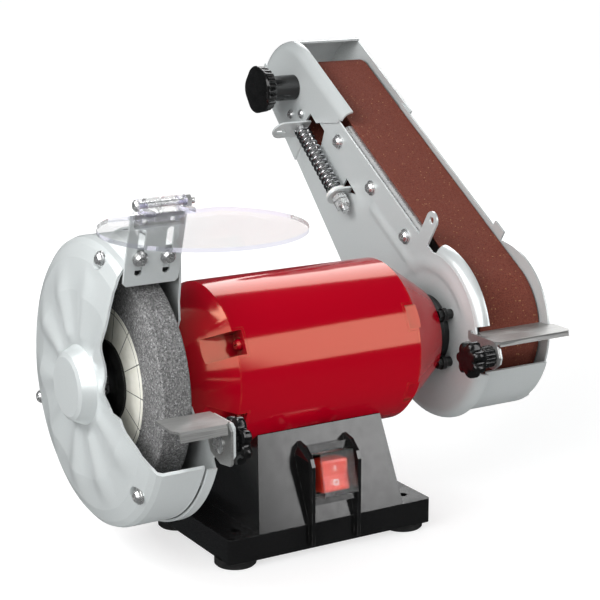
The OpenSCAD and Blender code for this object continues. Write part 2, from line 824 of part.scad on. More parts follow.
module arm_clamp_ring() {
  color([0.12, 0.12, 0.12]) on_axis() difference() {
    union() {
      rod_x(104.9, 3, 27);
      for (a = clamp_angles) rotate([a, 0, 0]) translate([0, clamp_r, 0]) rod_x(104.9, 3, 4.8);
    }
    rod_x(104, 6, spigot_r + 0.05);
    for (a = clamp_angles) rotate([a, 0, 0]) translate([0, clamp_r, 0]) rod_x(104, 6, clamp_bolt_r + 0.02);
  }
}

// Four bolts with spacers between the ring and the sander plate
module arm_clamp_bolts() {
  color([0.05, 0.05, 0.05]) on_axis() for (a = clamp_angles) rotate([a, 0, 0]) translate([0, clamp_r, 0]) {
    translate([101.6, 0, 0]) rotate([0, 90, 0]) cylinder(h = 3.28, r = 3.9, $fn = 6);
    rod_x(104, 14.5, clamp_bolt_r);
    difference() {
      rod_x(107.92, 5.06, 3.4);
      rod_x(107, 7, clamp_bolt_r);
    }
    translate([plate_x + sheet + 0.02, 0, 0]) rotate([0, 90, 0]) nut(8, 3.6, clamp_bolt_r);
  }
}

// ---------- sander housing ----------

// The area on the front side of the housing's rear line
module rear_limit() {
  rotate(rear_lean) translate([-300, -case_r]) square([700, 300]);
}

// Outline of the housing about the drum and along the belt, up to t = top
module case_outline(r, top, front) {
  intersection() {
    union() {
      circle(r, $fn = 96);
      rotate(rear_lean) translate([0, -r]) square([top + 40, r]);
      translate([0, -10]) square([top, front + 10]);
    }
    translate([-150, -150]) square([150 + top, 300]);
    union() {
      circle(r, $fn = 96);
      translate([0, -150]) square([400, 150 + front]);
    }
  }
}

// A quarter-round lip turned about the shaft, for the front and the bottom of the side plate
module lip_ring(r, x) {
  rotate([0, 90, 0]) rotate_extrude($fn = 96) translate([r - lip_bend, x + lip_bend]) lip_section();
}

module lip_section() {
  intersection() {
    difference() {
      circle(lip_bend);
      circle(lip_bend - sheet);
    }
    translate([0, -lip_bend]) square(lip_bend);
  }
}

// A wedge about X from angle a0 to a1, counted from +Y towards +Z
module wedge(a0, a1, x, length) {
  mid = (a0 + a1) / 2;
  along_x(x, length) polygon([
    [0, 0], 150 * [cos(a0), sin(a0)], 180 * [cos(mid), sin(mid)], 150 * [cos(a1), sin(a1)]
  ]);
}

// The housing's rear line as m at a given t
function rear_m(t) = (t - case_r * sin(rear_lean)) * tan(rear_lean) - case_r * cos(rear_lean);

// Left side plate: dished edge, belt-side lip, tension tab, lug with a hole and tongue for the belt rest
module sander_plate() {
  color([0.76, 0.79, 0.8]) {
    arm_frame() difference() {
      union() {
        along_x(plate_x, sheet) difference() {
          union() {
            case_outline(case_r - lip_bend, 180.5, 48);
            translate([46, 3]) square([134.5, 45]);
            translate([34.4, 40]) square([12.2, 26.5]);
            translate(lug_at) circle(6.1);
            polygon([
              [case_r * sin(rear_lean), -case_r * cos(rear_lean)], [plate_end, rear_m(plate_end)],
              [plate_end, 3.5], [150, 3.5], [40, -20], [13, -50]
            ]);
            polygon([
              [150, 3.5], [183.5, 3.5], [180.9, 17.8], [183.1, 29.3], [200, 31], [200, 46], [150, 46]
            ]);
          }
          translate(lug_at) circle(2.5);
          polygon([[139.8, 19.6], [123.5, 17.8], [141.3, 6.5]]);
          for (t = platen_screws) translate([t, platen_screw_m]) circle(2.6);
        }
        intersection() {
          lip_ring(61.5, plate_x);
          wedge(65, 134, plate_x - 1, 12);
        }
        intersection() {
          lip_ring(case_r, plate_x);
          wedge(166, 284, plate_x - 1, 12);
        }
      }
      rod_x(plate_x - 2, 6, spigot_r + 0.05);
      rotate([-arm_tilt, 0, 0]) for (a = clamp_angles) {
        rotate([a, 0, 0]) translate([0, clamp_r, 0]) rod_x(plate_x - 1, 4, clamp_bolt_r + 0.02);
      }
    }
    along_x(plate_x, sheet) difference() {
      polygon([[-40, 112], [-76, 113.5], [-82, 117], [-83, 121.5], [-81, 127.5], [-74, 129.4], [-40, 129.4]]);
      translate([belt_knob_y, belt_knob_z]) circle(2.6);
    }
    slide_frame() tab(plate_x + sheet, spring_lo - 2.2, 8.5);
  }
}

// A tab bent out of the plate towards -X, with a hole for the tension bolt
module tab(x, u, half_w) {
  reach = x - spring_x + 8;
  difference() {
    union() {
      translate([x - reach + 8, u - sheet, spring_n - half_w]) cube([reach - 8, sheet, 2 * half_w]);
      translate([spring_x, u - sheet, spring_n]) rotate([-90, 0, 0]) cylinder(h = sheet, r = half_w);
    }
    translate([spring_x, u - sheet - 1, spring_n]) rotate([-90, 0, 0]) cylinder(h = sheet + 2, r = 3.1);
  }
}

// The rear wall's outline behind the given area
module wrap_wall() {
  intersection() {
    difference() {
      case_outline(wrap_r, 178, 30);
      case_outline(wrap_r - sheet, 200, 60);
      translate([wrap_r * 0.5, -10]) square([200, 80]);
    }
    children();
  }
}

// Bottom and rear wall between the side plates; its round part ends at the side plate's lip
module sander_wrap() {
  round_x = plate_x + lip_bend + 0.1;
  color([0.72, 0.75, 0.76]) arm_frame() {
    along_x(round_x, cover_x - round_x - 0.1) wrap_wall() {
      polygon([[0, 0], [-75, 19], [-75, -120], [200, -120], [200, 0]]);
    }
    along_x(plate_x + sheet + 0.1, lip_bend) wrap_wall() translate([16, -120]) square([184, 120]);
  }
}

// Right side plate, which comes off to change the belt
module sander_side_cover() {
  color([0.76, 0.79, 0.8]) arm_frame() difference() {
    along_x(cover_x, sheet) {
      circle(cover_front_r, $fn = 96);
      intersection() {
        case_outline(wrap_r, 181, 52);
        polygon([[0, 0], [-75, -27], [-75, -120], [200, -120], [200, 60], [42, 60], [42, 0]]);
      }
      translate([30, 40]) square([12.2, cover_front_r - 41]);
    }
    for (p = cover_screw_points()) translate([0, p[0], p[1]]) rod_x(cover_x - 1, 4, 2.2);
  }
}

function cover_screw_points() = [
  [-30, -44], [60, -42], [150, -20], [platen_screws[0], platen_screw_m], [platen_screws[2], platen_screw_m]
];

// Screws that hold the platen and the right side plate
module sander_screws() {
  color([0.8, 0.81, 0.83]) arm_frame() {
    for (t = platen_screws) translate([plate_x - 0.05, t, platen_screw_m]) rotate([0, -90, 0]) {
      cylinder(h = 0.9, r = 5.4);
      translate([0, 0, 0.9]) pan_head(4.4, 2.8);
      translate([0, 0, -8]) cylinder(h = 8, r = 2.2);
    }
    for (p = cover_screw_points()) translate([cover_x + sheet + 0.05, p[0], p[1]]) rotate([0, 90, 0]) {
      pan_head(4.2, 2.6);
      translate([0, 0, -6]) cylinder(h = 6, r = 2);
    }
  }
}

// Steel channel behind the belt's front run
module platen() {
  top = drum_r - belt_t - 0.4;
  x0 = plate_x + sheet + 0.1;
  w = cover_x - x0 - 0.1;
  color([0.7, 0.71, 0.72]) arm_frame() difference() {
    translate([x0 + w / 2, 50, top - 15]) rotate([-90, 0, 0]) linear_extrude(height = 116) difference() {
      round_rect(w, 30, 6);
      round_rect(w - 2 * sheet, 30 - 2 * sheet, 4.5);
      translate([-w, 8]) square([2 * w, 20]);
    }
    for (t = platen_screws) translate([0, t, platen_screw_m]) rod_x(x0 - 1, 4, 2.3);
    for (i = [0, 2]) translate([0, platen_screws[i], platen_screw_m]) rod_x(cover_x - 4, 6, 2.1);
  }
}

// ---------- drum, belt and idler ----------

// The room inside a loop of belt whose outer radii shrink by d; its flat runs sit run_sag inside the tangents
module loop_block(d, x, length) {
  r1 = drum_r - d;
  r2 = idler_r - d;
  edge1 = (r1 - run_sag) * [sin(lean), cos(lean)];
  edge2 = [idler_dist, 0] + (r2 - run_sag) * [sin(lean), cos(lean)];
  rod_x(x, length, r1, $fn = 128);
  translate([0, idler_dist, 0]) rod_x(x, length, r2);
  along_x(x, length) polygon([edge1, edge2, [edge2[0], -edge2[1]], [edge1[0], -edge1[1]]]);
}

module sanding_belt() {
  color([0.42, 0.2, 0.16]) slide_frame() difference() {
    loop_block(0, belt_x, belt_w);
    loop_block(belt_t, belt_x - 1, belt_w + 2);
  }
}

module drive_drum() {
  r = drum_r - belt_t - 0.3;
  color([0.3, 0.3, 0.31]) on_axis() turn_x([
    [stub_r + 0.02, 124], [14, 124], [14, 140], [r - 5, 140], [r - 5, roller_x0], [r, roller_x0],
    [r, roller_x1], [r - 5, roller_x1], [r - 5, 148], [14, 148], [14, 158], [stub_r + 0.02, 158]
  ]);
}

module drum_nut() {
  color([0.6, 0.61, 0.62]) on_axis() translate([158.1, 0, 0]) rotate([0, 90, 0]) nut(19, 7, stub_r + 0.02);
}

module idler_roller() {
  r = idler_r - belt_t - 0.3;
  color([0.55, 0.56, 0.57]) slide_frame() translate([0, idler_dist, 0]) turn_x([
    [axle_r + 0.06, roller_x0], [r - 0.5, roller_x0], [r, roller_x0 + 1.4], [r, roller_x1 - 1.4],
    [r - 0.5, roller_x1], [axle_r + 0.06, roller_x1]
  ]);
}

module idler_axle() {
  color([0.75, 0.76, 0.78]) slide_frame() translate([0, idler_dist, 0]) {
    rod_x(head_x - 8, head_far_x - head_x + 12, axle_r);
    translate([head_far_x + sheet + 0.02, 0, 0]) rotate([0, 90, 0]) nut(13, 2.4, axle_r);
  }
}

// Outline of a side plate of the head: r about the roof's centre, cut off at its front edge
module head_outline(r, front) {
  intersection() {
    union() {
      translate(head_mid) circle(r);
      translate([head_end, -40]) square([head_mid[0] - head_end, 40 + front]);
      polygon([[230, -30], [262, -8], [279, 4], [279, 20], [230, 20]]);
    }
    translate([head_end, -60]) square([150, 60 + front]);
    rear_limit();
    polygon([[100, 120], [100, -80], [220, -60], [250, -11], [262, -3], [274, 0], [300, 12], [300, 120]]);
  }
}

// What both side plates of the head leave open: the slanted lower edge and the room around the spring
module head_cut() {
  polygon([
    [150, -70], [203.1, -70], [203.1, 4], [202.2, 19], [206.6, 19.1], [204.1, 29.5], [193.9, 28.5],
    [190, 31.5], [170.3, 47.9], [165.5, 53], [165, 60], [150, 60]
  ]);
}

// Sliding hood at the top of the sander: two side plates joined by a bent roof
module idler_head() {
  bend_n = lip_r - lip_bend;
  roof_x = head_x + lip_bend;
  color([0.76, 0.79, 0.8]) {
    arm_frame() difference() {
      union() {
        along_x(head_x, sheet) difference() {
          head_outline(head_top_r - lip_bend, bend_n);
          head_cut();
        }
        along_x(head_far_x, sheet) difference() {
          head_outline(head_top_r, head_far_front);
          head_cut();
        }
        translate([roof_x, head_end - 3, bend_n]) rotate([-90, 0, 0]) {
          linear_extrude(height = head_mid[0] - head_end + 3) rotate(-90) lip_section();
        }
        translate([0, head_mid[0], head_mid[1]]) {
          intersection() {
            rotate([0, 90, 0]) rotate_extrude($fn = 96) {
              translate([head_top_r - lip_bend, roof_x]) lip_section();
            }
            wedge(-26, 90, head_x - 1, 80);
          }
          intersection() {
            rotate([0, 90, 0]) rotate_extrude($fn = 96) {
              translate([head_top_r - sheet, roof_x - 0.5]) square([sheet, head_far_x - roof_x + 1]);
            }
            wedge(-26, 64, head_x - 1, 80);
          }
        }
      }
      translate([0, idler_t, fall]) rod_x(head_x - 10, 90, axle_r + 0.06);
      for (p = head_screw_points) translate([0, p[0], p[1]]) rod_x(head_x - 1, 4, 1.6);
    }
    slide_frame() difference() {
      translate([0, spring_hi + 0.2 + sheet, 0]) rotate([90, 0, 0]) linear_extrude(height = sheet) {
        translate([head_tab_x, head_tab_n]) difference() {
          union() {
            circle(head_tab_half);
            translate([0, -head_tab_half]) square([head_x + 1 - head_tab_x, 2 * head_tab_half]);
          }
          translate([-1, -1]) slot(8, 3);
        }
      }
      translate([spring_x, spring_hi - 1, spring_n]) rotate([-90, 0, 0]) cylinder(h = 4, r = 3.1);
    }
  }
}

// Two small screws in the head's left plate
module head_screws() {
  color([0.8, 0.81, 0.83]) arm_frame() for (p = head_screw_points) translate([head_x - 0.05, p[0], p[1]]) {
    rotate([0, -90, 0]) pan_head(3.4, 2);
    rod_x(-0.1, 4, 1.5);
  }
}

// ---------- belt tension ----------

module tension_bolt() {
  color([0.8, 0.81, 0.83]) slide_frame() translate([spring_x, 0, spring_n]) rotate([-90, 0, 0]) {
    translate([0, 0, 118]) cylinder(h = spring_hi - 115.5, r = tension_bolt_r);
    translate([0, 0, spring_hi + 1.8]) cylinder(h = 1.2, r = 4.4);
    for (u = [122, 127.4]) translate([0, 0, u]) nut(10, 4.6, tension_bolt_r);
  }
}

module spring_washer() {
  color([0.92, 0.92, 0.9]) slide_frame() translate([spring_x, spring_lo - 2.1, spring_n]) {
    rotate([-90, 0, 0]) difference() {
      cylinder(h = 1.9, r = 8);
      translate([0, 0, -1]) cylinder(h = 4, r = tension_bolt_r + 0.25);
    }
  }
}

// Coil drawn as stacked rings on the bolt
module tension_spring() {
  coils = 14;
  wire_r = 0.95;
  pitch = (spring_hi - spring_lo - 0.6) / coils;
  color([0.6, 0.61, 0.63]) slide_frame() translate([spring_x, 0, spring_n]) rotate([-90, 0, 0]) {
    for (i = [0:coils - 1]) translate([0, 0, spring_lo + 0.3 + (i + 0.5) * pitch]) {
      rotate_extrude() translate([5.3, 0]) circle(wire_r, $fn = 16);
    }
  }
}

// Ribbed adjusting knob on the idler's axle
module tracking_knob() {
  color([0.03, 0.03, 0.03]) slide_frame() translate([head_x - 0.1, idler_dist, 0]) rotate([0, -90, 0]) {
    linear_extrude(height = tracking_neck) difference() {
      circle(9.6);
      circle(axle_r + 0.06);
    }
    translate([0, 0, tracking_neck]) linear_extrude(height = 9.4) {
      circle(16.8);
      for (i = [0:17]) rotate(i * 20) translate([16.6, 0]) circle(1.5);
    }
  }
}

// ---------- belt tool rest ----------

module belt_rest() {
  x0 = head_x;
  z = belt_rest_z;
  color([0.72, 0.73, 0.72]) difference() {
    union() {
      translate([x0, 0, z - 2]) linear_extrude(height = 2) {
        polygon([
          [0, -57.5], [4.5, -57.5], [6, -51.6], [58, -51.6], [60, -58.4], [63.5, -60], [64.2, -76],
          [61, -79.5], [3, -80.5], [0, -77]
        ]);
      }
      along_x(x0 + 3, 58) polygon([[-78.5, z - 2], [-80.2, z - 1], [-80.6, z - 3.4], [-79, z - 3.4]]);
      along_x(x0, sheet) polygon([
        [-48.5, z + 1.5], [-51, z + 1.5], [-51.6, z], [-77, z], [-80.5, z - 3], [-83.5, z - 10],
        [-82, z - 16], [-77, z - 19.5], [-64, z - 18], [-58, z - 10], [-48.5, z - 4]
      ]);
    }
    translate([0, belt_knob_y + slot_ahead, belt_knob_z]) along_x(x0 - 1, 4) slot(13.4, 5.2);
  }
}

module belt_rest_bolt() {
  color([0.8, 0.81, 0.83]) translate([plate_x, belt_knob_y, belt_knob_z]) {
    translate([sheet + 0.05, 0, 0]) rotate([0, 90, 0]) cylinder(h = 2.4, r = 5);
    rod_x(-13.9, 15.7, 2.5);
  }
}

module belt_rest_knob() {
  color([0.03, 0.03, 0.03]) translate([head_x - 0.1, belt_knob_y, belt_knob_z]) {
    rotate([0, -90, 0]) lobed_knob(12.6, 8.5, 7.6, 12.5, 2.55);
  }
}

base_shell();
base_bottom_plate();
rubber_feet();
base_screws();
cable_gland();
run_capacitor();
capacitor_clip();
switch_body();
switch_bezel();
switch_rocker();
switch_cover();
motor_barrel();
end_bell_left();
end_bell_right();
bell_screws();
stator_core();
stator_windings();
bearing_outer_rings();
bearing_balls();
bearing_inner_rings();
rotor_core();
shaft();
wheel_inner_flange();
grinding_wheel();
wheel_labels();
wheel_outer_flange();
wheel_nut();
guard_back();
guard_cover();
guard_screws();
spark_screws();
spark_bracket();
shield_hinge();
shield_hinge_screw();
eye_shield();
wheel_rest();
wheel_rest_bolt();
wheel_rest_knob();
arm_hub();
arm_clamp_ring();
arm_clamp_bolts();
sander_plate();
sander_wrap();
sander_side_cover();
sander_screws();
platen();
drive_drum();
drum_nut();
sanding_belt();
idler_head();
head_screws();
idler_axle();
idler_roller();
tension_bolt();
spring_washer();
tension_spring();
tracking_knob();
belt_rest();
belt_rest_bolt();
belt_rest_knob();
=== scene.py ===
import json
import math
import bmesh
import bpy
from mathutils import Matrix, Vector


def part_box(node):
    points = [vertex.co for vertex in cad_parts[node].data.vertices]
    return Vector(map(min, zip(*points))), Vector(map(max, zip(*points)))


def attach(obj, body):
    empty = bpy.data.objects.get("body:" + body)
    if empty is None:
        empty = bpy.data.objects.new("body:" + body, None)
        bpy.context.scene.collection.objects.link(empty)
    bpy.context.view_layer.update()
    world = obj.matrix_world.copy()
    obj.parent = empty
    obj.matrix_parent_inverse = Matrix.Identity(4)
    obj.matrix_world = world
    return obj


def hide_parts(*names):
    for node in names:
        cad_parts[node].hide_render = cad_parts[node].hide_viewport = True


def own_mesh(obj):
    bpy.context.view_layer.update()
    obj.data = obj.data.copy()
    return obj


# A combination bench grinder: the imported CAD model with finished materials, and new meshes for the pieces
# whose pressed, moulded or coiled shapes need more than the CAD solids give.
# Metres, +Z up, -Y is the front.

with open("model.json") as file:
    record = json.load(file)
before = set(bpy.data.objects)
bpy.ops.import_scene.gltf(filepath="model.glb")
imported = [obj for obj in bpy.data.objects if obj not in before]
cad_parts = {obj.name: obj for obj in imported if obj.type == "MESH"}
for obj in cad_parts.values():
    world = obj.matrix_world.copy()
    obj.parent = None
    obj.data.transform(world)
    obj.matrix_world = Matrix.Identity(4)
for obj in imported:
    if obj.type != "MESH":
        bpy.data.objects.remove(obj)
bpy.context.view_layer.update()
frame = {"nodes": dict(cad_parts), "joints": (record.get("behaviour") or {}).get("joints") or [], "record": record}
nodes = frame["nodes"]
joints = {joint["name"]: joint for joint in frame["joints"]}

MM = 0.001
SHAFT = Vector(joints["rotor_spin"]["pos_m"])
SLIDE_AXIS = Vector(joints["belt_tension"]["axis"])

# Angles of the CAD model: the sander arm's rise from level, and the switch panel's lean from upright
ARM_TILT = math.radians(32.1)
PANEL_SLOPE = math.atan2(16.5, 60.5)

# The rocker rests at one end of its travel, tipped by half of it
ROCKER_LOW, ROCKER_HIGH = joints["switch_rock"]["range_deg"]
ROCKER_REST = math.radians((ROCKER_HIGH - ROCKER_LOW) / 2)


# ---------- materials ----------

class Finish:
    """One procedural material: a Principled shader and its textures, in the object's own metres."""

    def __init__(self, name, **constants):
        self.material = bpy.data.materials.new(name)
        self.material.use_nodes = True
        self.tree = self.material.node_tree
        self.shader = self.tree.nodes["Principled BSDF"]
        self.place = self.add("ShaderNodeTexCoord").outputs["Object"]
        for socket, value in constants.items():
            self.shader.inputs[socket.replace("_", " ")].default_value = value

    def add(self, kind, **settings):
        """A new shader node with some of its settings."""
        node = self.tree.nodes.new(kind)
        for key, value in settings.items():
            setattr(node, key, value)
        return node

    def link(self, output, socket):
        self.tree.links.new(output, socket)

    def stretched(self, stretch):
        """The place, scaled along each axis, for grain that runs one way."""
        mapping = self.add("ShaderNodeMapping")
        mapping.inputs["Scale"].default_value = stretch
        self.link(self.place, mapping.inputs["Vector"])
        return mapping.outputs["Vector"]

    def noise(self, scale, detail=2.0, stretch=None):
        """Cloudy noise from 0 to 1, mostly near the middle."""
        node = self.add("ShaderNodeTexNoise")
        node.inputs["Scale"].default_value = scale
        node.inputs["Detail"].default_value = detail
        self.link(self.stretched(stretch) if stretch else self.place, node.inputs["Vector"])
        return node.outputs["Fac"]

    def cells(self, scale, output="Color"):
        """Grains: a random colour for each one, or the distance from its middle."""
        node = self.add("ShaderNodeTexVoronoi")
        node.inputs["Scale"].default_value = scale
        self.link(self.place, node.inputs["Vector"])
        return node.outputs[output]

    def ramp(self, value, *stops):
        """Colours, or greys, at places from 0 to 1 along a value."""
        node = self.add("ShaderNodeValToRGB")
        band = node.color_ramp
        while len(band.elements) < len(stops):
            band.elements.new(0.5)
        for element, (at, colour) in zip(band.elements, stops):
            element.position = at
            element.color = (*colour, 1) if isinstance(colour, tuple) else (colour, colour, colour, 1)
        self.link(value, node.inputs["Fac"])
        return node.outputs["Color"]

    def span(self, value, low, high, start=0.3, end=0.7):
        """A value that goes from low to high while the input goes from start to end."""
        node = self.add("ShaderNodeMapRange")
        for socket, number in zip(("From Min", "From Max", "To Min", "To Max"), (start, end, low, high)):
            node.inputs[socket].default_value = number
        self.link(value, node.inputs["Value"])
        return node.outputs["Result"]

    def math(self, operation, a, b=None):
        """The sum, product or other result of one or two outputs or numbers."""
        node = self.add("ShaderNodeMath", operation=operation)
        for socket, value in zip(node.inputs, (a, b)):
            if isinstance(value, (int, float)):
                socket.default_value = value
            elif value is not None:
                self.link(value, socket)
        return node.outputs["Value"]

    def blend(self, share, under, over):
        """Two varying colours, or a varying colour and one fixed one, mixed by a share from 0 to 1."""
        node = self.add("ShaderNodeMix", data_type="RGBA")
        factor, a, b, result = node.inputs[0], node.inputs[6], node.inputs[7], node.outputs[2]
        self.link(share, factor)
        for socket, colour in ((a, under), (b, over)):
            if isinstance(colour, tuple):
                socket.default_value = (*colour, 1)
            else:
                self.link(colour, socket)
        return result

    def edges(self, reach=0.0009, patch_scale=160):
        """Worn edges: where the surface turns within reach, broken up by patches."""
        rounded = self.add("ShaderNodeBevel", samples=4)
        rounded.inputs["Radius"].default_value = reach
        facing = self.add("ShaderNodeVectorMath", operation="DOT_PRODUCT")
        self.link(rounded.outputs["Normal"], facing.inputs[0])
        self.link(self.add("ShaderNodeNewGeometry").outputs["Normal"], facing.inputs[1])
        patches = self.span(self.noise(patch_scale, 4), 0.15, 1.0, 0.42, 0.62)
        corner = self.span(facing.outputs["Value"], 1.0, 0.0, 0.75, 0.97)
        return self.math("MULTIPLY", corner, patches)

    def painted_crevice_shade(self, reach, open_share):
        """Painted shade in narrow places: none where more than open_share of the room within reach is free."""
        shade = self.add("ShaderNodeAmbientOcclusion", samples=6)
        shade.inputs["Distance"].default_value = reach
        return self.span(shade.outputs["AO"], 0.85, 0.0, 0.05, open_share)

    def colour(self, output):
        self.link(output, self.shader.inputs["Base Color"])
        return self

    def roughness(self, output):
        self.link(output, self.shader.inputs["Roughness"])
        return self

    def bump(self, *layers):
        """Height layers as (output, depth in metres), chained into the normal."""
        previous = None
        for height, depth in layers:
            node = self.add("ShaderNodeBump")
            node.inputs["Strength"].default_value = 1.0
            node.inputs["Distance"].default_value = depth
            self.link(height, node.inputs["Height"])
            if previous:
                self.link(previous, node.inputs["Normal"])
            previous = node.outputs["Normal"]
        self.link(previous, self.shader.inputs["Normal"])
        return self


def red_paint():
    """Gloss enamel with slight orange peel, rubbed edges, and painted shade in narrow places."""
    m = Finish("red_gloss", Specular_Tint=(1.0, 0.56, 0.36, 1), Specular_IOR_Level=0.75)
    tone = m.ramp(m.noise(14, 3), (0.35, (0.385, 0.0, 0.010)), (0.65, (0.395, 0.0, 0.011)))
    worn = m.blend(m.edges(), tone, (0.52, 0.05, 0.03))
    # Painted shade: the red goes near black where the room within 45 mm is closed in.
    m.colour(m.blend(m.painted_crevice_shade(reach=0.045, open_share=0.55), worn, (0.03, 0.004, 0.004)))
    m.roughness(m.span(m.noise(260, 4), 0.095, 0.115))
    return m.bump((m.noise(420, 2), 0.000004))


def black_paint():
    """Satin powder coat with a fine leathery grain."""
    m = Finish("black_satin", Specular_IOR_Level=0.8)
    tone = m.ramp(m.noise(30, 3), (0.35, 0.004), (0.65, 0.006))
    m.colour(m.blend(m.edges(), tone, (0.05, 0.05, 0.05)))
    m.roughness(m.span(m.noise(150, 4), 0.15, 0.2))
    return m.bump((m.noise(1400, 3), 0.000005))


def silver_paint():
    """Silver lacquer: fine flakes, soft sheen, lighter rubbed edges, and painted shade darkening its narrow
    places.
    """
    m = Finish("silver_lacquer", Metallic=0.35, Coat_Weight=0.2, Coat_Roughness=0.15)
    tone = m.ramp(m.noise(9, 3), (0.35, (0.60, 0.635, 0.635)), (0.65, (0.63, 0.665, 0.665)))
    flakes = m.span(m.cells(2600), 0.0, 0.35, 0.2, 1.0)
    sparkle = m.blend(flakes, tone, (0.70, 0.73, 0.73))
    worn = m.blend(m.edges(), sparkle, (0.74, 0.76, 0.76))
    # Painted shade: the silver goes dark grey where the room within 45 mm is closed in.
    m.colour(m.blend(m.painted_crevice_shade(reach=0.045, open_share=0.30), worn, (0.10, 0.10, 0.10)))
    m.roughness(m.span(m.noise(45, 4), 0.30, 0.38))
    return m.bump((m.noise(900, 2), 0.000012))


def bare_steel():
    """Steel plate with a drawn grain along X and a few darker smudges."""
    m = Finish("drawn_steel", Metallic=0.75, Anisotropic=0.4)
    grain = m.noise(60, 5, stretch=(1, 30, 30))
    m.colour(m.ramp(grain, (0.3, (0.30, 0.30, 0.295)), (0.7, (0.45, 0.45, 0.44))))
    m.roughness(m.span(m.noise(40, 4), 0.36, 0.5))
    return m.bump((grain, 0.00003), (m.noise(700, 3), 0.00001))


def zinc_steel():
    """Bright zinc plating with a faint cloudy bloom."""
    m = Finish("zinc_plate", Metallic=0.85)
    m.colour(m.ramp(m.noise(120, 3), (0.3, (0.60, 0.61, 0.62)), (0.7, (0.74, 0.74, 0.73))))
    m.roughness(m.span(m.noise(200, 3), 0.22, 0.32))
    return m.bump((m.noise(700, 2), 0.000005))


def spring_wire():
    """Dark drawn wire that catches sharp lights."""
    m = Finish("spring_wire", Metallic=1.0)
    m.colour(m.ramp(m.noise(300, 3), (0.3, (0.26, 0.26, 0.27)), (0.7, (0.42, 0.42, 0.43))))
    m.roughness(m.span(m.noise(400, 3), 0.12, 0.22))
    return m.bump((m.noise(1500, 2), 0.00001))


def blued_steel():
    """Black oxide with lighter rubbed corners."""
    m = Finish("black_oxide", Metallic=0.8)
    tone = m.ramp(m.noise(90, 4), (0.3, 0.02), (0.7, 0.045))
    m.colour(m.blend(m.edges(), tone, (0.2, 0.2, 0.2)))
    m.roughness(m.span(m.noise(200, 4), 0.3, 0.5))
    return m.bump((m.noise(1100, 3), 0.00002))


def bearing_steel():
    """Ground rings and balls, almost a mirror."""
    m = Finish("ground_bearing_steel", Metallic=1.0)
    m.colour(m.ramp(m.noise(150, 3), (0.3, (0.68, 0.69, 0.71)), (0.7, (0.80, 0.81, 0.83))))
    m.roughness(m.span(m.noise(400, 3), 0.08, 0.16))
    return m.bump((m.noise(2000, 2, stretch=(8, 1, 1)), 0.000004))


def laminations():
    """Stacked sheets: thin dark lines across X."""
    m = Finish("lamination_stack", Metallic=0.9)
    sheets = m.noise(40, 2, stretch=(40, 0.2, 0.2))
    m.colour(m.ramp(sheets, (0.35, (0.16, 0.15, 0.15)), (0.6, (0.50, 0.50, 0.51))))
    m.roughness(m.span(sheets, 0.32, 0.55))
    return m.bump((sheets, 0.00005))


def drum_cast():
    """Turned casting: fine rings and small pits."""
    m = Finish("turned_casting", Metallic=0.9)
    rings = m.noise(60, 3, stretch=(14, 1, 1))
    m.colour(m.ramp(rings, (0.3, (0.20, 0.20, 0.21)), (0.7, (0.36, 0.36, 0.37))))
    m.roughness(m.span(m.noise(300, 4), 0.35, 0.55))
    return m.bump((rings, 0.00004), (m.cells(900, "Distance"), 0.00002))


def copper():
    """Varnished winding wire."""
    m = Finish("winding_wire", Metallic=0.9, Coat_Weight=0.6, Coat_Roughness=0.15)
    wires = m.noise(90, 1, stretch=(1, 12, 12))
    m.colour(m.ramp(wires, (0.35, (0.24, 0.07, 0.02)), (0.65, (0.62, 0.24, 0.08))))
    m.roughness(m.span(wires, 0.25, 0.4))
    return m.bump((wires, 0.0002))


def grit_stone():
    """Vitrified wheel: grey grains with dark pores and a few bright faces."""
    m = Finish("vitrified_grit", Specular_IOR_Level=0.4)
    grains = m.ramp(m.cells(1150), (0.12, 0.09), (0.5, 0.17), (0.75, 0.24), (0.95, 0.38))
    pores = m.span(m.noise(950, 3), 0.0, 0.75, 0.56, 0.68)
    m.colour(m.blend(pores, grains, (0.03, 0.03, 0.032)))
    m.roughness(m.span(m.noise(600, 2), 0.65, 0.9))
    return m.bump((m.cells(1150, "Distance"), 0.0003), (m.noise(1500, 3), 0.0002))


def abrasive_cloth():
    """Aluminium oxide belt: brown-red grit with pale grains and a faint weave below."""
    m = Finish("oxide_grit_cloth", Specular_IOR_Level=0.25)
    tone = m.ramp(m.noise(1300, 4), (0.3, (0.105, 0.024, 0.015)), (0.7, (0.215, 0.056, 0.036)))
    picked = m.span(m.cells(700), 0.0, 1.0, 0.80, 0.86)
    centre = m.span(m.cells(700, "Distance"), 1.0, 0.0, 0.15, 0.45)
    m.colour(m.blend(m.math("MULTIPLY", picked, centre), tone, (0.40, 0.20, 0.09)))
    m.roughness(m.span(m.noise(500, 3), 0.7, 0.9))
    return m.bump((m.noise(1700, 4), 0.00035), (m.noise(150, 2), 0.0001))


def label_paper():
    """Blotter paper with thin printed rules: a ring and spokes about the shaft, no words."""
    spokes, spoke_share = 14, 0.035
    ring_radius, half_rule = 0.0455, 0.00025
    m = Finish("blotter_paper", Specular_IOR_Level=0.3)
    parts = m.add("ShaderNodeSeparateXYZ")
    m.link(m.place, parts.inputs["Vector"])
    height = m.math("SUBTRACT", parts.outputs["Z"], SHAFT.z)
    angle = m.math("ARCTAN2", height, parts.outputs["Y"])
    turn = m.math("FRACT", m.math("MULTIPLY", angle, spokes / math.tau))
    spoke = m.math("LESS_THAN", turn, spoke_share)
    across = m.math("ADD", m.math("POWER", height, 2.0), m.math("POWER", parts.outputs["Y"], 2.0))
    ring = m.math("COMPARE", m.math("SQRT", across), ring_radius)
    ring.node.inputs[2].default_value = half_rule
    tone = m.ramp(m.noise(260, 5), (0.3, (0.80, 0.79, 0.70)), (0.7, (0.88, 0.87, 0.79)))
    m.colour(m.blend(m.math("MAXIMUM", spoke, ring), tone, (0.10, 0.10, 0.09)))
    m.roughness(m.span(m.noise(300, 3), 0.6, 0.8))
    return m.bump((m.noise(2200, 4), 0.00004))


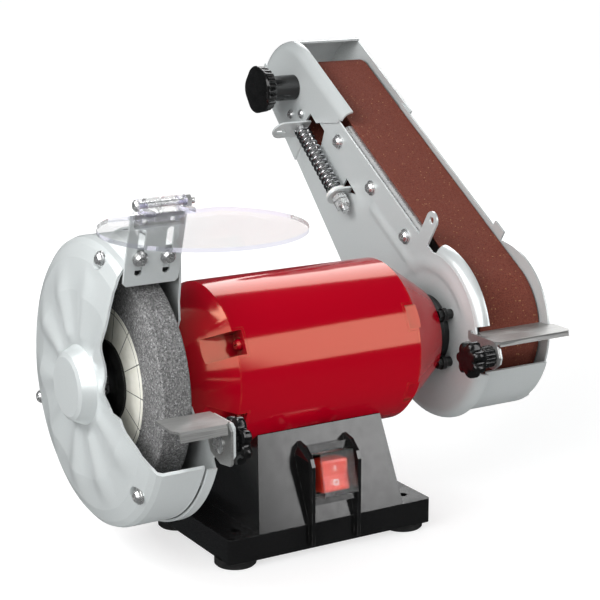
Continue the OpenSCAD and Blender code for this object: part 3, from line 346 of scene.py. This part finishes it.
def black_plastic():
    """Moulded nylon: a fine spark texture that shines at rubbed corners."""
    m = Finish("moulded_black", Specular_IOR_Level=0.5)
    tone = m.ramp(m.noise(200, 3), (0.35, 0.003), (0.65, 0.006))
    m.colour(m.blend(m.edges(), tone, (0.03, 0.03, 0.03)))
    m.roughness(m.span(m.noise(250, 4), 0.16, 0.26))
    return m.bump((m.noise(1800, 3), 0.000015))


def red_switch():
    """Translucent lit rocker."""
    m = Finish(
        "rocker_red", Coat_Weight=0.4, Coat_Roughness=0.05, Subsurface_Weight=0.25, Subsurface_Scale=0.003,
    )
    m.shader.inputs["Subsurface Radius"].default_value = (1.0, 0.2, 0.1)
    m.colour(m.ramp(m.noise(90, 2), (0.35, (0.72, 0.035, 0.02)), (0.65, (0.82, 0.07, 0.035))))
    m.roughness(m.span(m.noise(300, 3), 0.12, 0.22))
    return m.bump((m.noise(1500, 2), 0.000008))


def clear_plastic():
    """Clear moulded plastic with faint haze, for the hinge block and the switch cover."""
    m = Finish("clear_moulding", Transmission_Weight=1.0, IOR=1.4, Alpha=0.35)
    m.colour(m.ramp(m.noise(60, 3), (0.35, (0.93, 0.94, 0.95)), (0.65, (0.97, 0.97, 0.98))))
    m.roughness(m.span(m.noise(300, 5), 0.0, 0.04))
    return m.bump((m.noise(500, 4), 0.000004))


def shield_sheet():
    """Clear polycarbonate sheet with fine scratches: lilac and denser through its cut edges."""
    m = Finish("polycarbonate_sheet", Transmission_Weight=1.0, IOR=1.2)
    facing = m.add("ShaderNodeSeparateXYZ")
    m.link(m.add("ShaderNodeTexCoord").outputs["Normal"], facing.inputs["Vector"])
    side = m.span(m.math("ABSOLUTE", facing.outputs["Z"]), 1.0, 0.0, 0.3, 0.8)
    body = m.ramp(m.noise(40, 3), (0.35, (0.95, 0.945, 0.975)), (0.65, (0.97, 0.965, 0.985)))
    m.colour(m.blend(side, body, (0.62, 0.60, 0.80)))
    m.link(m.span(side, 0.18, 0.60, 0.0, 1.0), m.shader.inputs["Alpha"])
    m.roughness(m.span(m.noise(300, 5, stretch=(1, 12, 1)), 0.0, 0.04))
    return m.bump((m.noise(500, 4, stretch=(1, 9, 1)), 0.000003))


def white_nylon():
    """Plain white moulded nylon."""
    m = Finish("moulded_white", Subsurface_Weight=0.1, Subsurface_Scale=0.002)
    m.colour(m.ramp(m.noise(150, 3), (0.3, (0.72, 0.72, 0.70)), (0.7, (0.80, 0.80, 0.78))))
    m.roughness(m.span(m.noise(300, 3), 0.3, 0.45))
    return m.bump((m.noise(1400, 3), 0.00001))


def capacitor_can():
    """The capacitor's dull grey case."""
    m = Finish("capacitor_case")
    m.colour(m.ramp(m.noise(80, 3), (0.3, (0.62, 0.63, 0.60)), (0.7, (0.72, 0.73, 0.70))))
    m.roughness(m.span(m.noise(250, 3), 0.35, 0.5))
    return m.bump((m.noise(1200, 3), 0.00001))


def foot_rubber():
    """Moulded rubber with a dusty bloom on its edges."""
    m = Finish("foot_rubber", Specular_IOR_Level=0.3)
    tone = m.ramp(m.noise(180, 4), (0.3, 0.006), (0.7, 0.016))
    m.colour(m.blend(m.edges(), tone, (0.06, 0.06, 0.058)))
    m.roughness(m.span(m.noise(300, 4), 0.6, 0.85))
    return m.bump((m.noise(1300, 4), 0.00005))


def mark_paint():
    """White printing on the rocker."""
    m = Finish("mark_white")
    m.colour(m.ramp(m.noise(600, 3), (0.3, (0.70, 0.70, 0.68)), (0.7, (0.82, 0.82, 0.80))))
    m.roughness(m.span(m.noise(500, 3), 0.35, 0.5))
    return m.bump((m.noise(1500, 2), 0.000008))


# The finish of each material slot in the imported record
FINISHES = {
    "red_paint": red_paint, "black_paint": black_paint, "silver_paint": silver_paint,
    "bare_steel": bare_steel, "zinc_steel": zinc_steel, "blued_steel": blued_steel,
    "bearing_steel": bearing_steel, "laminations": laminations, "drum_cast": drum_cast,
    "copper": copper, "grit_stone": grit_stone, "abrasive_cloth": abrasive_cloth,
    "label_paper": label_paper, "black_plastic": black_plastic, "red_switch": red_switch,
    "clear_plastic": clear_plastic, "white_nylon": white_nylon, "capacitor_can": capacitor_can,
    "foot_rubber": foot_rubber,
}
finishes = {slot: make().material for slot, make in FINISHES.items()}

# Two nodes look unlike the rest of their slot
own_finishes = {"eye_shield": shield_sheet().material, "platen": finishes["zinc_steel"]}
slot_of = {part["node"]: part["material_slot"] for part in frame["record"]["subparts"]}


def dress_nodes():
    """Gives every CAD node the finished material of its slot."""
    for name, obj in nodes.items():
        for socket in obj.material_slots:
            socket.material = own_finishes.get(name, finishes[slot_of[name]])


# ---------- edges ----------

def smoothing_group(angle):
    """Geometry nodes that drop the imported normals and shade smoothly up to an edge angle."""
    group = bpy.data.node_groups.new("smooth_by_angle", "GeometryNodeTree")
    group.interface.new_socket("Geometry", in_out="INPUT", socket_type="NodeSocketGeometry")
    group.interface.new_socket("Geometry", in_out="OUTPUT", socket_type="NodeSocketGeometry")
    make = group.nodes.new
    start, end = make("NodeGroupInput"), make("NodeGroupOutput")
    forget = make("GeometryNodeRemoveAttribute")
    forget.inputs["Name"].default_value = "custom_normal"
    faces, edges = make("GeometryNodeSetShadeSmooth"), make("GeometryNodeSetShadeSmooth")
    edges.domain = "EDGE"
    edges.inputs["Shade Smooth"].default_value = False
    bend = make("GeometryNodeInputMeshEdgeAngle")
    sharp = make("FunctionNodeCompare")
    sharp.data_type = "FLOAT"
    sharp.operation = "GREATER_THAN"
    sharp.inputs["B"].default_value = angle
    for output, socket in (
        (start.outputs[0], forget.inputs["Geometry"]),
        (forget.outputs["Geometry"], faces.inputs["Geometry"]),
        (faces.outputs["Geometry"], edges.inputs["Geometry"]),
        (bend.outputs["Unsigned Angle"], sharp.inputs["A"]),
        (sharp.outputs["Result"], edges.inputs["Selection"]),
        (edges.outputs["Geometry"], end.inputs[0]),
    ):
        group.links.new(output, socket)
    return group


# Faces shade smoothly up to one angle, and edges sharper than the other are rounded
SMOOTHING = smoothing_group(math.radians(28))
ROUNDED_FROM = math.radians(35)

# Edge radius in millimetres for the nodes whose corners show
EDGE_RADII = {
    "base_shell": 0.7, "switch_bezel": 0.6, "switch_rocker": 0.5, "motor_barrel": 0.5, "end_bell_left": 0.8,
    "end_bell_right": 0.8, "guard_back": 0.3, "spark_bracket": 0.3, "shield_hinge": 0.5, "eye_shield": 0.4,
    "wheel_rest": 0.3, "sander_wrap": 0.3, "sander_side_cover": 0.35, "platen": 0.3, "idler_head": 0.35,
    "belt_rest": 0.3, "grinding_wheel": 0.3, "cable_gland": 0.5, "rubber_feet": 0.6, "wheel_nut": 0.4,
    "guard_screws": 0.25, "spark_screws": 0.25, "sander_screws": 0.25, "head_screws": 0.2,
    "tension_bolt": 0.25, "shield_hinge_screw": 0.25, "wheel_rest_bolt": 0.3, "belt_rest_bolt": 0.3,
    "switch_cover": 0.4, "arm_hub": 0.4, "arm_clamp_bolts": 0.3, "arm_clamp_ring": 0.4,
    "spring_washer": 0.3, "bell_screws": 0.3,
}


def soften(obj, radius):
    """Rounds an object's corners with modifiers and leaves its mesh as it is."""
    smooth = obj.modifiers.new("smooth", "NODES")
    smooth.node_group = SMOOTHING
    bevel = obj.modifiers.new("edge_round", "BEVEL")
    bevel.width = radius * MM
    bevel.segments = 2
    bevel.limit_method = "ANGLE"
    bevel.angle_limit = ROUNDED_FROM
    bevel.harden_normals = True
    bevel.miter_outer = "MITER_ARC"


# ---------- new meshes ----------

def new_piece(name, mesh, body, slot, replaced=(), material=None):
    """Puts a finished mesh into the scene on its body."""
    obj = bpy.data.objects.new(name, mesh)
    bpy.context.scene.collection.objects.link(obj)
    mesh.materials.clear()
    mesh.materials.append(material or finishes[slot])
    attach(obj, body)
    if replaced:
        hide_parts(*replaced)
    return obj


def mesh_of(name, points, faces, smooth=True):
    """A mesh from points and faces, all smooth or all flat."""
    mesh = bpy.data.meshes.new(name)
    mesh.from_pydata([tuple(p) for p in points], [], faces)
    mesh.validate()
    mesh.polygons.foreach_set("use_smooth", [smooth] * len(mesh.polygons))
    mesh.update()
    return mesh


def ring_tube(rings, closed_ends=True):
    """Faces that join equal rings of points in order, with a fan over each end."""
    size = len(rings[0])
    points = [p for ring in rings for p in ring]
    faces = []
    for i in range(len(rings) - 1):
        for j in range(size):
            k = (j + 1) % size
            faces.append((i * size + j, i * size + k, (i + 1) * size + k, (i + 1) * size + j))
    if closed_ends:
        faces.append(tuple(reversed(range(size))))
        faces.append(tuple(range((len(rings) - 1) * size, len(rings) * size)))
    return points, faces


def ease(value, start, end):
    """0 before start, 1 after end, and a smooth rise between."""
    share = max(0.0, min(1.0, (value - start) / (end - start)))
    return share * share * (3 - 2 * share)


def hump(value, rise, fall):
    """1 between rise and fall, each a (start, end) pair with a smooth slope, and 0 outside them."""
    return ease(value, *rise) * (1 - ease(value, *fall))


def gridded_copy(node, name, step, axes):
    """A copy of a node's mesh cut along evenly spaced planes, so that it can be pressed into a shape."""
    mesh = nodes[node].data.copy()
    mesh.name = name
    bm = bmesh.new()
    bm.from_mesh(mesh)
    for axis in axes:
        places = [vert.co[axis] for vert in bm.verts]
        low, high = min(places), max(places)
        normal = Vector((0, 0, 0))
        normal[axis] = 1
        for i in range(1, int((high - low) / step) + 1):
            at = normal * (low + i * step)
            everything = bm.verts[:] + bm.edges[:] + bm.faces[:]
            bmesh.ops.bisect_plane(bm, geom=everything, plane_co=at, plane_no=normal)
    bmesh.ops.triangulate(bm, faces=[face for face in bm.faces if len(face.verts) > 4])
    for edge in bm.edges:
        edge.smooth = True
    for face in bm.faces:
        face.smooth = True
    bm.to_mesh(mesh)
    bm.free()
    if "custom_normal" in mesh.attributes:
        mesh.attributes.remove(mesh.attributes["custom_normal"])
    return mesh


def press(mesh, depth_at):
    """Moves each point along X by depth_at(point)."""
    for vert in mesh.vertices:
        vert.co.x += depth_at(vert.co)
    mesh.update()


# The guard cover in metres: its face lies beyond GUARD_FACE_X, and its flutes rise and fade over these radii
GUARD_FACE_X = -0.140
FLUTE_RISE = (0.026, 0.034)
FLUTE_FADE = (0.058, 0.0835)
FLUTE_COUNT = 10
FLUTE_FIRST = math.radians(101)
FLUTE_HEIGHT = 0.0026
FLUTE_SHARPNESS = 1.6

# Its three screw seats stay flat: their angles, how far out they are, and the flat's radius
SEAT_ANGLES = [math.radians(a) for a in (103.5, 219.6, 339.8)]
SEAT_AT = 0.0857
SEAT_CLEAR = 0.0085


def guard_depth(point):
    """Raised flutes that run out from the boss and fade before the rim and the screw seats."""
    y, z = point.y, point.z - SHAFT.z
    radius = math.hypot(y, z)
    if not FLUTE_RISE[0] < radius < FLUTE_FADE[1] or point.x > GUARD_FACE_X:
        return 0.0
    angle = math.atan2(z, y) - FLUTE_FIRST
    ridge = (0.5 + 0.5 * math.cos(FLUTE_COUNT * angle)) ** FLUTE_SHARPNESS
    rise = hump(radius, FLUTE_RISE, FLUTE_FADE)
    for seat in SEAT_ANGLES:
        gap = math.hypot(y - SEAT_AT * math.cos(seat), z - SEAT_AT * math.sin(seat))
        rise *= ease(gap, SEAT_CLEAR, 2 * SEAT_CLEAR)
    return -FLUTE_HEIGHT * ridge * rise


def guard_cover():
    """The guard's cover with its flutes pressed in."""
    mesh = gridded_copy("guard_cover", "guard_cover_pressed", step=0.0026, axes=(1, 2))
    press(mesh, guard_depth)
    piece = new_piece("guard_cover_pressed", mesh, "machine", "silver_paint", ["guard_cover"])
    soften(piece, 0.35)


# The sander plate in metres: its sheet, the straight rib beside the belt, and the ring step round the drum
PLATE_X = 0.11375
HALF_SHEET = 0.0012
RIB_DEPTH = 0.0016
RIB_ACROSS = ((0.0195, 0.0225), (0.0235, 0.0300))
RIB_ALONG = ((0.030, 0.040), (0.098, 0.106))
STEP_DEPTH = 0.0011
STEP_RADII = ((0.040, 0.045), (0.047, 0.0545))
STEP_TURN = ((-0.9, -0.5), (1.9, 2.3))


def plate_depth(point):
    """The side plate's pressings: a rib beside the belt and a soft step round the drum."""
    if abs(point.x - PLATE_X) > HALF_SHEET:
        return 0.0
    y, z = point.y, point.z - SHAFT.z
    along = y * math.cos(ARM_TILT) + z * math.sin(ARM_TILT)
    out = z * math.cos(ARM_TILT) - y * math.sin(ARM_TILT)
    rib = hump(out, *RIB_ACROSS) * hump(along, *RIB_ALONG)
    step = hump(math.hypot(y, z), *STEP_RADII) * hump(math.atan2(out, along), *STEP_TURN)
    return -RIB_DEPTH * rib - STEP_DEPTH * step * (1 - rib)


def sander_plate():
    """The sander's side plate with its rib and its ring step pressed in."""
    mesh = gridded_copy("sander_plate", "sander_plate_pressed", step=0.0022, axes=(1, 2))
    press(mesh, plate_depth)
    piece = new_piece("sander_plate_pressed", mesh, "arm", "silver_paint", ["sander_plate"])
    soften(piece, 0.3)


# The tension coil: the wire's radius in metres, and how much closer its ends are wound than its middle
WIRE = 0.00095
COIL_TURNS = 13.5
COIL_STEPS = 36
WIRE_POINTS = 10
END_BUNCHING = 0.084


def coil_rings(start, run, coil_radius):
    """Rings of points round the wire, from one end of the coil to the other."""
    side = Vector((1, 0, 0))
    across = SLIDE_AXIS.cross(side)
    rings = []
    for i in range(int(COIL_TURNS * COIL_STEPS) + 1):
        share = i / (COIL_TURNS * COIL_STEPS)
        eased = share - END_BUNCHING * math.sin(math.tau * share) / math.tau
        angle = math.tau * COIL_TURNS * share
        outward = side * math.cos(angle) + across * math.sin(angle)
        at = start + SLIDE_AXIS * (run * eased) + outward * coil_radius
        ring = []
        for j in range(WIRE_POINTS):
            turn = math.tau * j / WIRE_POINTS
            ring.append(at + outward * (WIRE * math.cos(turn)) + SLIDE_AXIS * (WIRE * math.sin(turn)))
        rings.append(ring)
    return rings


def tension_spring():
    """A real coil in place of the CAD model's stacked rings."""
    low_corner, high_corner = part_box("tension_spring")
    centre = (low_corner + high_corner) / 2
    along = [vert.co.dot(SLIDE_AXIS) for vert in nodes["tension_spring"].data.vertices]
    length = max(along) - min(along)
    coil_radius = (high_corner.x - low_corner.x) / 2 - WIRE
    start = centre - SLIDE_AXIS * (length / 2 - WIRE)
    rings = coil_rings(start, length - 2 * WIRE, coil_radius)
    mesh = mesh_of("tension_coil", *ring_tube(rings))
    piece = new_piece("tension_coil", mesh, "arm", "bare_steel", ["tension_spring"], spring_wire().material)
    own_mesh(piece)


GRIP_POINTS = 180
LOBE_SHARPNESS = 1.5
RIB_SHARPNESS = 2


def grip_radius(angle, size, lobe, rib, lobes, ribs):
    """A grip's radius at an angle, hollowed between its lobes and grooved between its ribs."""
    radius = size * (1 - lobe * (0.5 - 0.5 * math.cos(lobes * angle)) ** LOBE_SHARPNESS)
    return radius * (1 - rib * (0.5 - 0.5 * math.cos(ribs * angle)) ** RIB_SHARPNESS)


def turned_grip(name, node, body, outward, profile, lobes, ribs):
    """A knob in place of a CAD one, turned about X: outward is 1 when its tip points to +X, and else -1."""
    low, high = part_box(node)
    middle = (low + high) / 2
    reach = max(high.y - low.y, high.z - low.z) / 2
    seat_x = low.x if outward > 0 else high.x
    rings = []
    for share, size, lobe, rib in profile:
        x = seat_x + outward * share * (high.x - low.x)
        ring = []
        for j in range(GRIP_POINTS):
            angle = math.tau * j / GRIP_POINTS
            radius = reach * grip_radius(angle, size, lobe, rib, lobes, ribs)
            turn = angle * outward
            ring.append((x, middle.y + radius * math.cos(turn), middle.z + radius * math.sin(turn)))
        rings.append(ring)
    points, faces = ring_tube(rings)
    piece = new_piece(name, mesh_of(name, points, faces), body, "black_plastic", [node])
    smooth = piece.modifiers.new("smooth", "NODES")
    smooth.node_group = SMOOTHING


# Knob profiles from seat to tip: share of the length, radius share, lobe depth, rib depth
LOBED_HEAD = [
    (0.44, 0.66, 0.00, 0.0), (0.47, 0.86, 0.12, 0.0), (0.51, 0.96, 0.20, 0.0), (0.57, 1.00, 0.24, 0.0),
    (0.72, 1.00, 0.24, 0.0), (0.84, 0.985, 0.24, 0.0), (0.91, 0.93, 0.23, 0.0), (0.96, 0.84, 0.20, 0.0),
    (0.985, 0.70, 0.14, 0.0), (0.998, 0.45, 0.05, 0.0), (1.0, 0.2, 0.0, 0.0),
]
WHEEL_REST_NECK = [
    (0.0, 0.50, 0.0, 0.07), (0.02, 0.52, 0.0, 0.07), (0.38, 0.52, 0.0, 0.07), (0.43, 0.56, 0.0, 0.0),
]
BELT_REST_NECK = [
    (0.0, 0.56, 0.0, 0.10), (0.02, 0.59, 0.0, 0.12), (0.40, 0.59, 0.0, 0.12), (0.43, 0.62, 0.0, 0.0),
]
TRACKING_DIAL = [
    (0.0, 0.51, 0.0, 0.0), (0.01, 0.53, 0.0, 0.0), (0.62, 0.53, 0.0, 0.0), (0.66, 0.56, 0.0, 0.0),
    (0.67, 0.80, 0.02, 0.04), (0.69, 0.90, 0.03, 0.09), (0.72, 0.95, 0.04, 0.12), (0.86, 0.985, 0.05, 0.10),
    (0.90, 1.0, 0.06, 0.0), (0.93, 1.0, 0.07, 0.0), (0.96, 0.96, 0.07, 0.0), (0.975, 0.87, 0.06, 0.0),
    (0.986, 0.70, 0.04, 0.0), (0.995, 0.40, 0.0, 0.0), (1.0, 0.12, 0.0, 0.0),
]


def knobs():
    """Two clamp knobs with seven lobes and ribbed necks, and a tracking dial with five soft lobes."""
    wheel_profile = WHEEL_REST_NECK + LOBED_HEAD
    turned_grip("wheel_rest_grip", "wheel_rest_knob", "wheel_table_knob", 1, wheel_profile, lobes=7, ribs=14)
    moved = 0.15
    shorter_head = [(moved + share * (1 - moved), *rest) for share, *rest in LOBED_HEAD]
    belt_profile = BELT_REST_NECK + shorter_head
    turned_grip("belt_rest_grip", "belt_rest_knob", "belt_table_knob", -1, belt_profile, lobes=7, ribs=14)
    turned_grip("tracking_dial", "tracking_knob", "tracking", -1, TRACKING_DIAL, lobes=5, ribs=22)


# The rocker's marks, in metres on its two sloping halves
MARK_AT = 0.0047
MARK_THICK = 0.00025
BAR_HALF = (0.0004, 0.0019)
RING_RADII = (0.0013, 0.0021)
ROCKER_FACE = 0.01222
ROCKER_HALF_SLOPE = math.atan2(1.0, 8.6)


def rocker_face(side):
    """The frame of one half of the rocker's face: side is 1 for the upper half and -1 for the lower one."""
    pivot = Matrix.Translation(joints["switch_rock"]["pos_m"])
    tilt = Matrix.Rotation(math.pi / 2 - PANEL_SLOPE + ROCKER_REST, 4, "X")
    half = Matrix.Rotation(ROCKER_HALF_SLOPE * side, 4, "X")
    centre = Matrix.Translation((0, MARK_AT * side, 0))
    return pivot @ tilt @ Matrix.Translation((0, 0, ROCKER_FACE)) @ half @ centre


def rocker_bar():
    """The bar on the upper half, as a thin box."""
    face = rocker_face(1)
    x, y = BAR_HALF
    corners = [(-x, -y), (x, -y), (x, y), (-x, y)]
    sections = [[face @ Vector((*corner, z)) for corner in corners] for z in (0, MARK_THICK)]
    return mesh_of("rocker_mark_on", *ring_tube(sections), smooth=False)


def rocker_ring():
    """The ring on the lower half: a small rectangle carried all the way round and closed on itself."""
    face = rocker_face(-1)
    inner, outer = RING_RADII
    rim = [(inner, 0), (outer, 0), (outer, MARK_THICK), (inner, MARK_THICK)]
    count = 48
    sections = []
    for i in range(count + 1):
        turn = math.tau * (i % count) / count
        sections.append([face @ Vector((r * math.cos(turn), r * math.sin(turn), z)) for r, z in rim])
    mesh = mesh_of("rocker_mark_off", *ring_tube(sections, closed_ends=False), smooth=False)
    bm = bmesh.new()
    bm.from_mesh(mesh)
    bmesh.ops.remove_doubles(bm, verts=bm.verts[:], dist=0.000001)
    bm.to_mesh(mesh)
    bm.free()
    return mesh


def rocker_marks():
    """A bar and a ring in white on the rocker's two halves."""
    white = mark_paint().material
    new_piece("rocker_mark_on", rocker_bar(), "rocker", "red_switch", material=white)
    new_piece("rocker_mark_off", rocker_ring(), "rocker", "red_switch", material=white)


# ---------- studio ----------

TARGET = Vector((0.02, 0.0, 0.14))

# The camera that was fitted to the photograph
CAMERA_AT = (-0.5800, -0.9803, 0.4368)
CAMERA_TILT = math.radians(76.26)
CAMERA_TURN = math.radians(-30.958)
CAMERA_LENS = 106.09

# Azimuth from the front towards +X and elevation in degrees; distance, width and height in metres; radiance
LIGHTS = {
    "front_right": (34, 19, 1.7, 0.52, 1.12, 3.4),
    "top_rear": (137, 36, 1.7, 0.9, 1.1, 3.2),
    "left_fill": (-55, 26, 1.8, 1.7, 1.4, 3.0),
    "near_left": (-92, 42, 0.6, 0.28, 0.28, 7.5),
    "front_soft": (-8, 40, 1.8, 1.3, 1.0, 0.3),
    "overhead": (0, 88, 1.8, 1.3, 1.3, 0.5),
}


def direction(azimuth, elevation):
    """A unit vector: azimuth from the front towards +X, elevation up, in degrees."""
    a, e = math.radians(azimuth), math.radians(elevation)
    return Vector((math.sin(a) * math.cos(e), -math.cos(a) * math.cos(e), math.sin(e)))


def softbox(name, azimuth, elevation, distance, width, height, radiance):
    """A rectangular light that faces the object, sized in metres, with an even radiance."""
    light = bpy.data.lights.new(name, "AREA")
    light.shape = "RECTANGLE"
    light.size = width
    light.size_y = height
    light.energy = 4 * width * height * radiance
    obj = bpy.data.objects.new(name, light)
    obj.location = TARGET + direction(azimuth, elevation) * distance
    obj.rotation_euler = (TARGET - obj.location).to_track_quat("-Z", "Y").to_euler()
    bpy.context.scene.collection.objects.link(obj)


def studio_sheet(name, mesh, tone, glow):
    """A pale sheet of the set, with a soft glow of its own."""
    mottle = 0.01
    m = Finish(name, Emission_Color=(1, 1, 1, 1), Emission_Strength=glow, Specular_IOR_Level=0.0)
    m.colour(m.ramp(m.noise(2, 2), (0.3, tone - mottle), (0.7, tone + mottle)))
    m.roughness(m.span(m.noise(5, 2), 0.8, 0.9))
    sheet = bpy.data.objects.new(name, mesh)
    sheet.data.materials.append(m.material)
    bpy.context.scene.collection.objects.link(sheet)
    sheet.visible_glossy = False
    return sheet


def studio_floor():
    """A round floor that lights the object from below, on a wide brighter sweep that doesn't."""
    radius, count = 0.62, 128
    turns = [math.tau * i / count for i in range(count)]
    rim = [(radius * math.cos(turn), radius * math.sin(turn), 0) for turn in turns]
    studio_sheet("pale_floor", mesh_of("pale_floor", rim, [tuple(range(count))]), tone=0.50, glow=0.64)
    below, far = -0.001, 5.0
    rows = [(-far, below), (2.0, below), (2.6, 0.08), (3.1, 0.35), (3.4, 0.8), (3.5, 1.4), (3.5, far)]
    behind = Matrix.Rotation(CAMERA_TURN, 3, "Z")
    points = [behind @ Vector((x, y, z)) for y, z in rows for x in (-far, far)]
    faces = [(2 * i, 2 * i + 1, 2 * i + 3, 2 * i + 2) for i in range(len(rows) - 1)]
    backdrop = studio_sheet("pale_backdrop", mesh_of("pale_backdrop", points, faces), tone=0.30, glow=0.96)
    backdrop.visible_diffuse = False


def studio():
    """The floor, the soft lights and a faint cool sky."""
    studio_floor()
    for name, settings in LIGHTS.items():
        softbox(name, *settings)
    world = bpy.data.worlds.new("studio")
    world.use_nodes = True
    sky = world.node_tree.nodes["Background"]
    sky.inputs["Color"].default_value = (0.9, 0.95, 1.0, 1)
    sky.inputs["Strength"].default_value = 0.06
    bpy.context.scene.world = world
    bpy.context.scene.view_settings.view_transform = "Standard"


def camera():
    """The photograph's view."""
    data = bpy.data.cameras.new("photo_view")
    data.lens = CAMERA_LENS
    data.sensor_width = 36
    obj = bpy.data.objects.new("photo_view", data)
    obj.location = CAMERA_AT
    obj.rotation_euler = (CAMERA_TILT, 0, CAMERA_TURN)
    bpy.context.scene.collection.objects.link(obj)
    bpy.context.scene.camera = obj


camera()
dress_nodes()
for node_name, edge_radius in EDGE_RADII.items():
    soften(nodes[node_name], edge_radius)
guard_cover()
sander_plate()
tension_spring()
knobs()
rocker_marks()
studio()
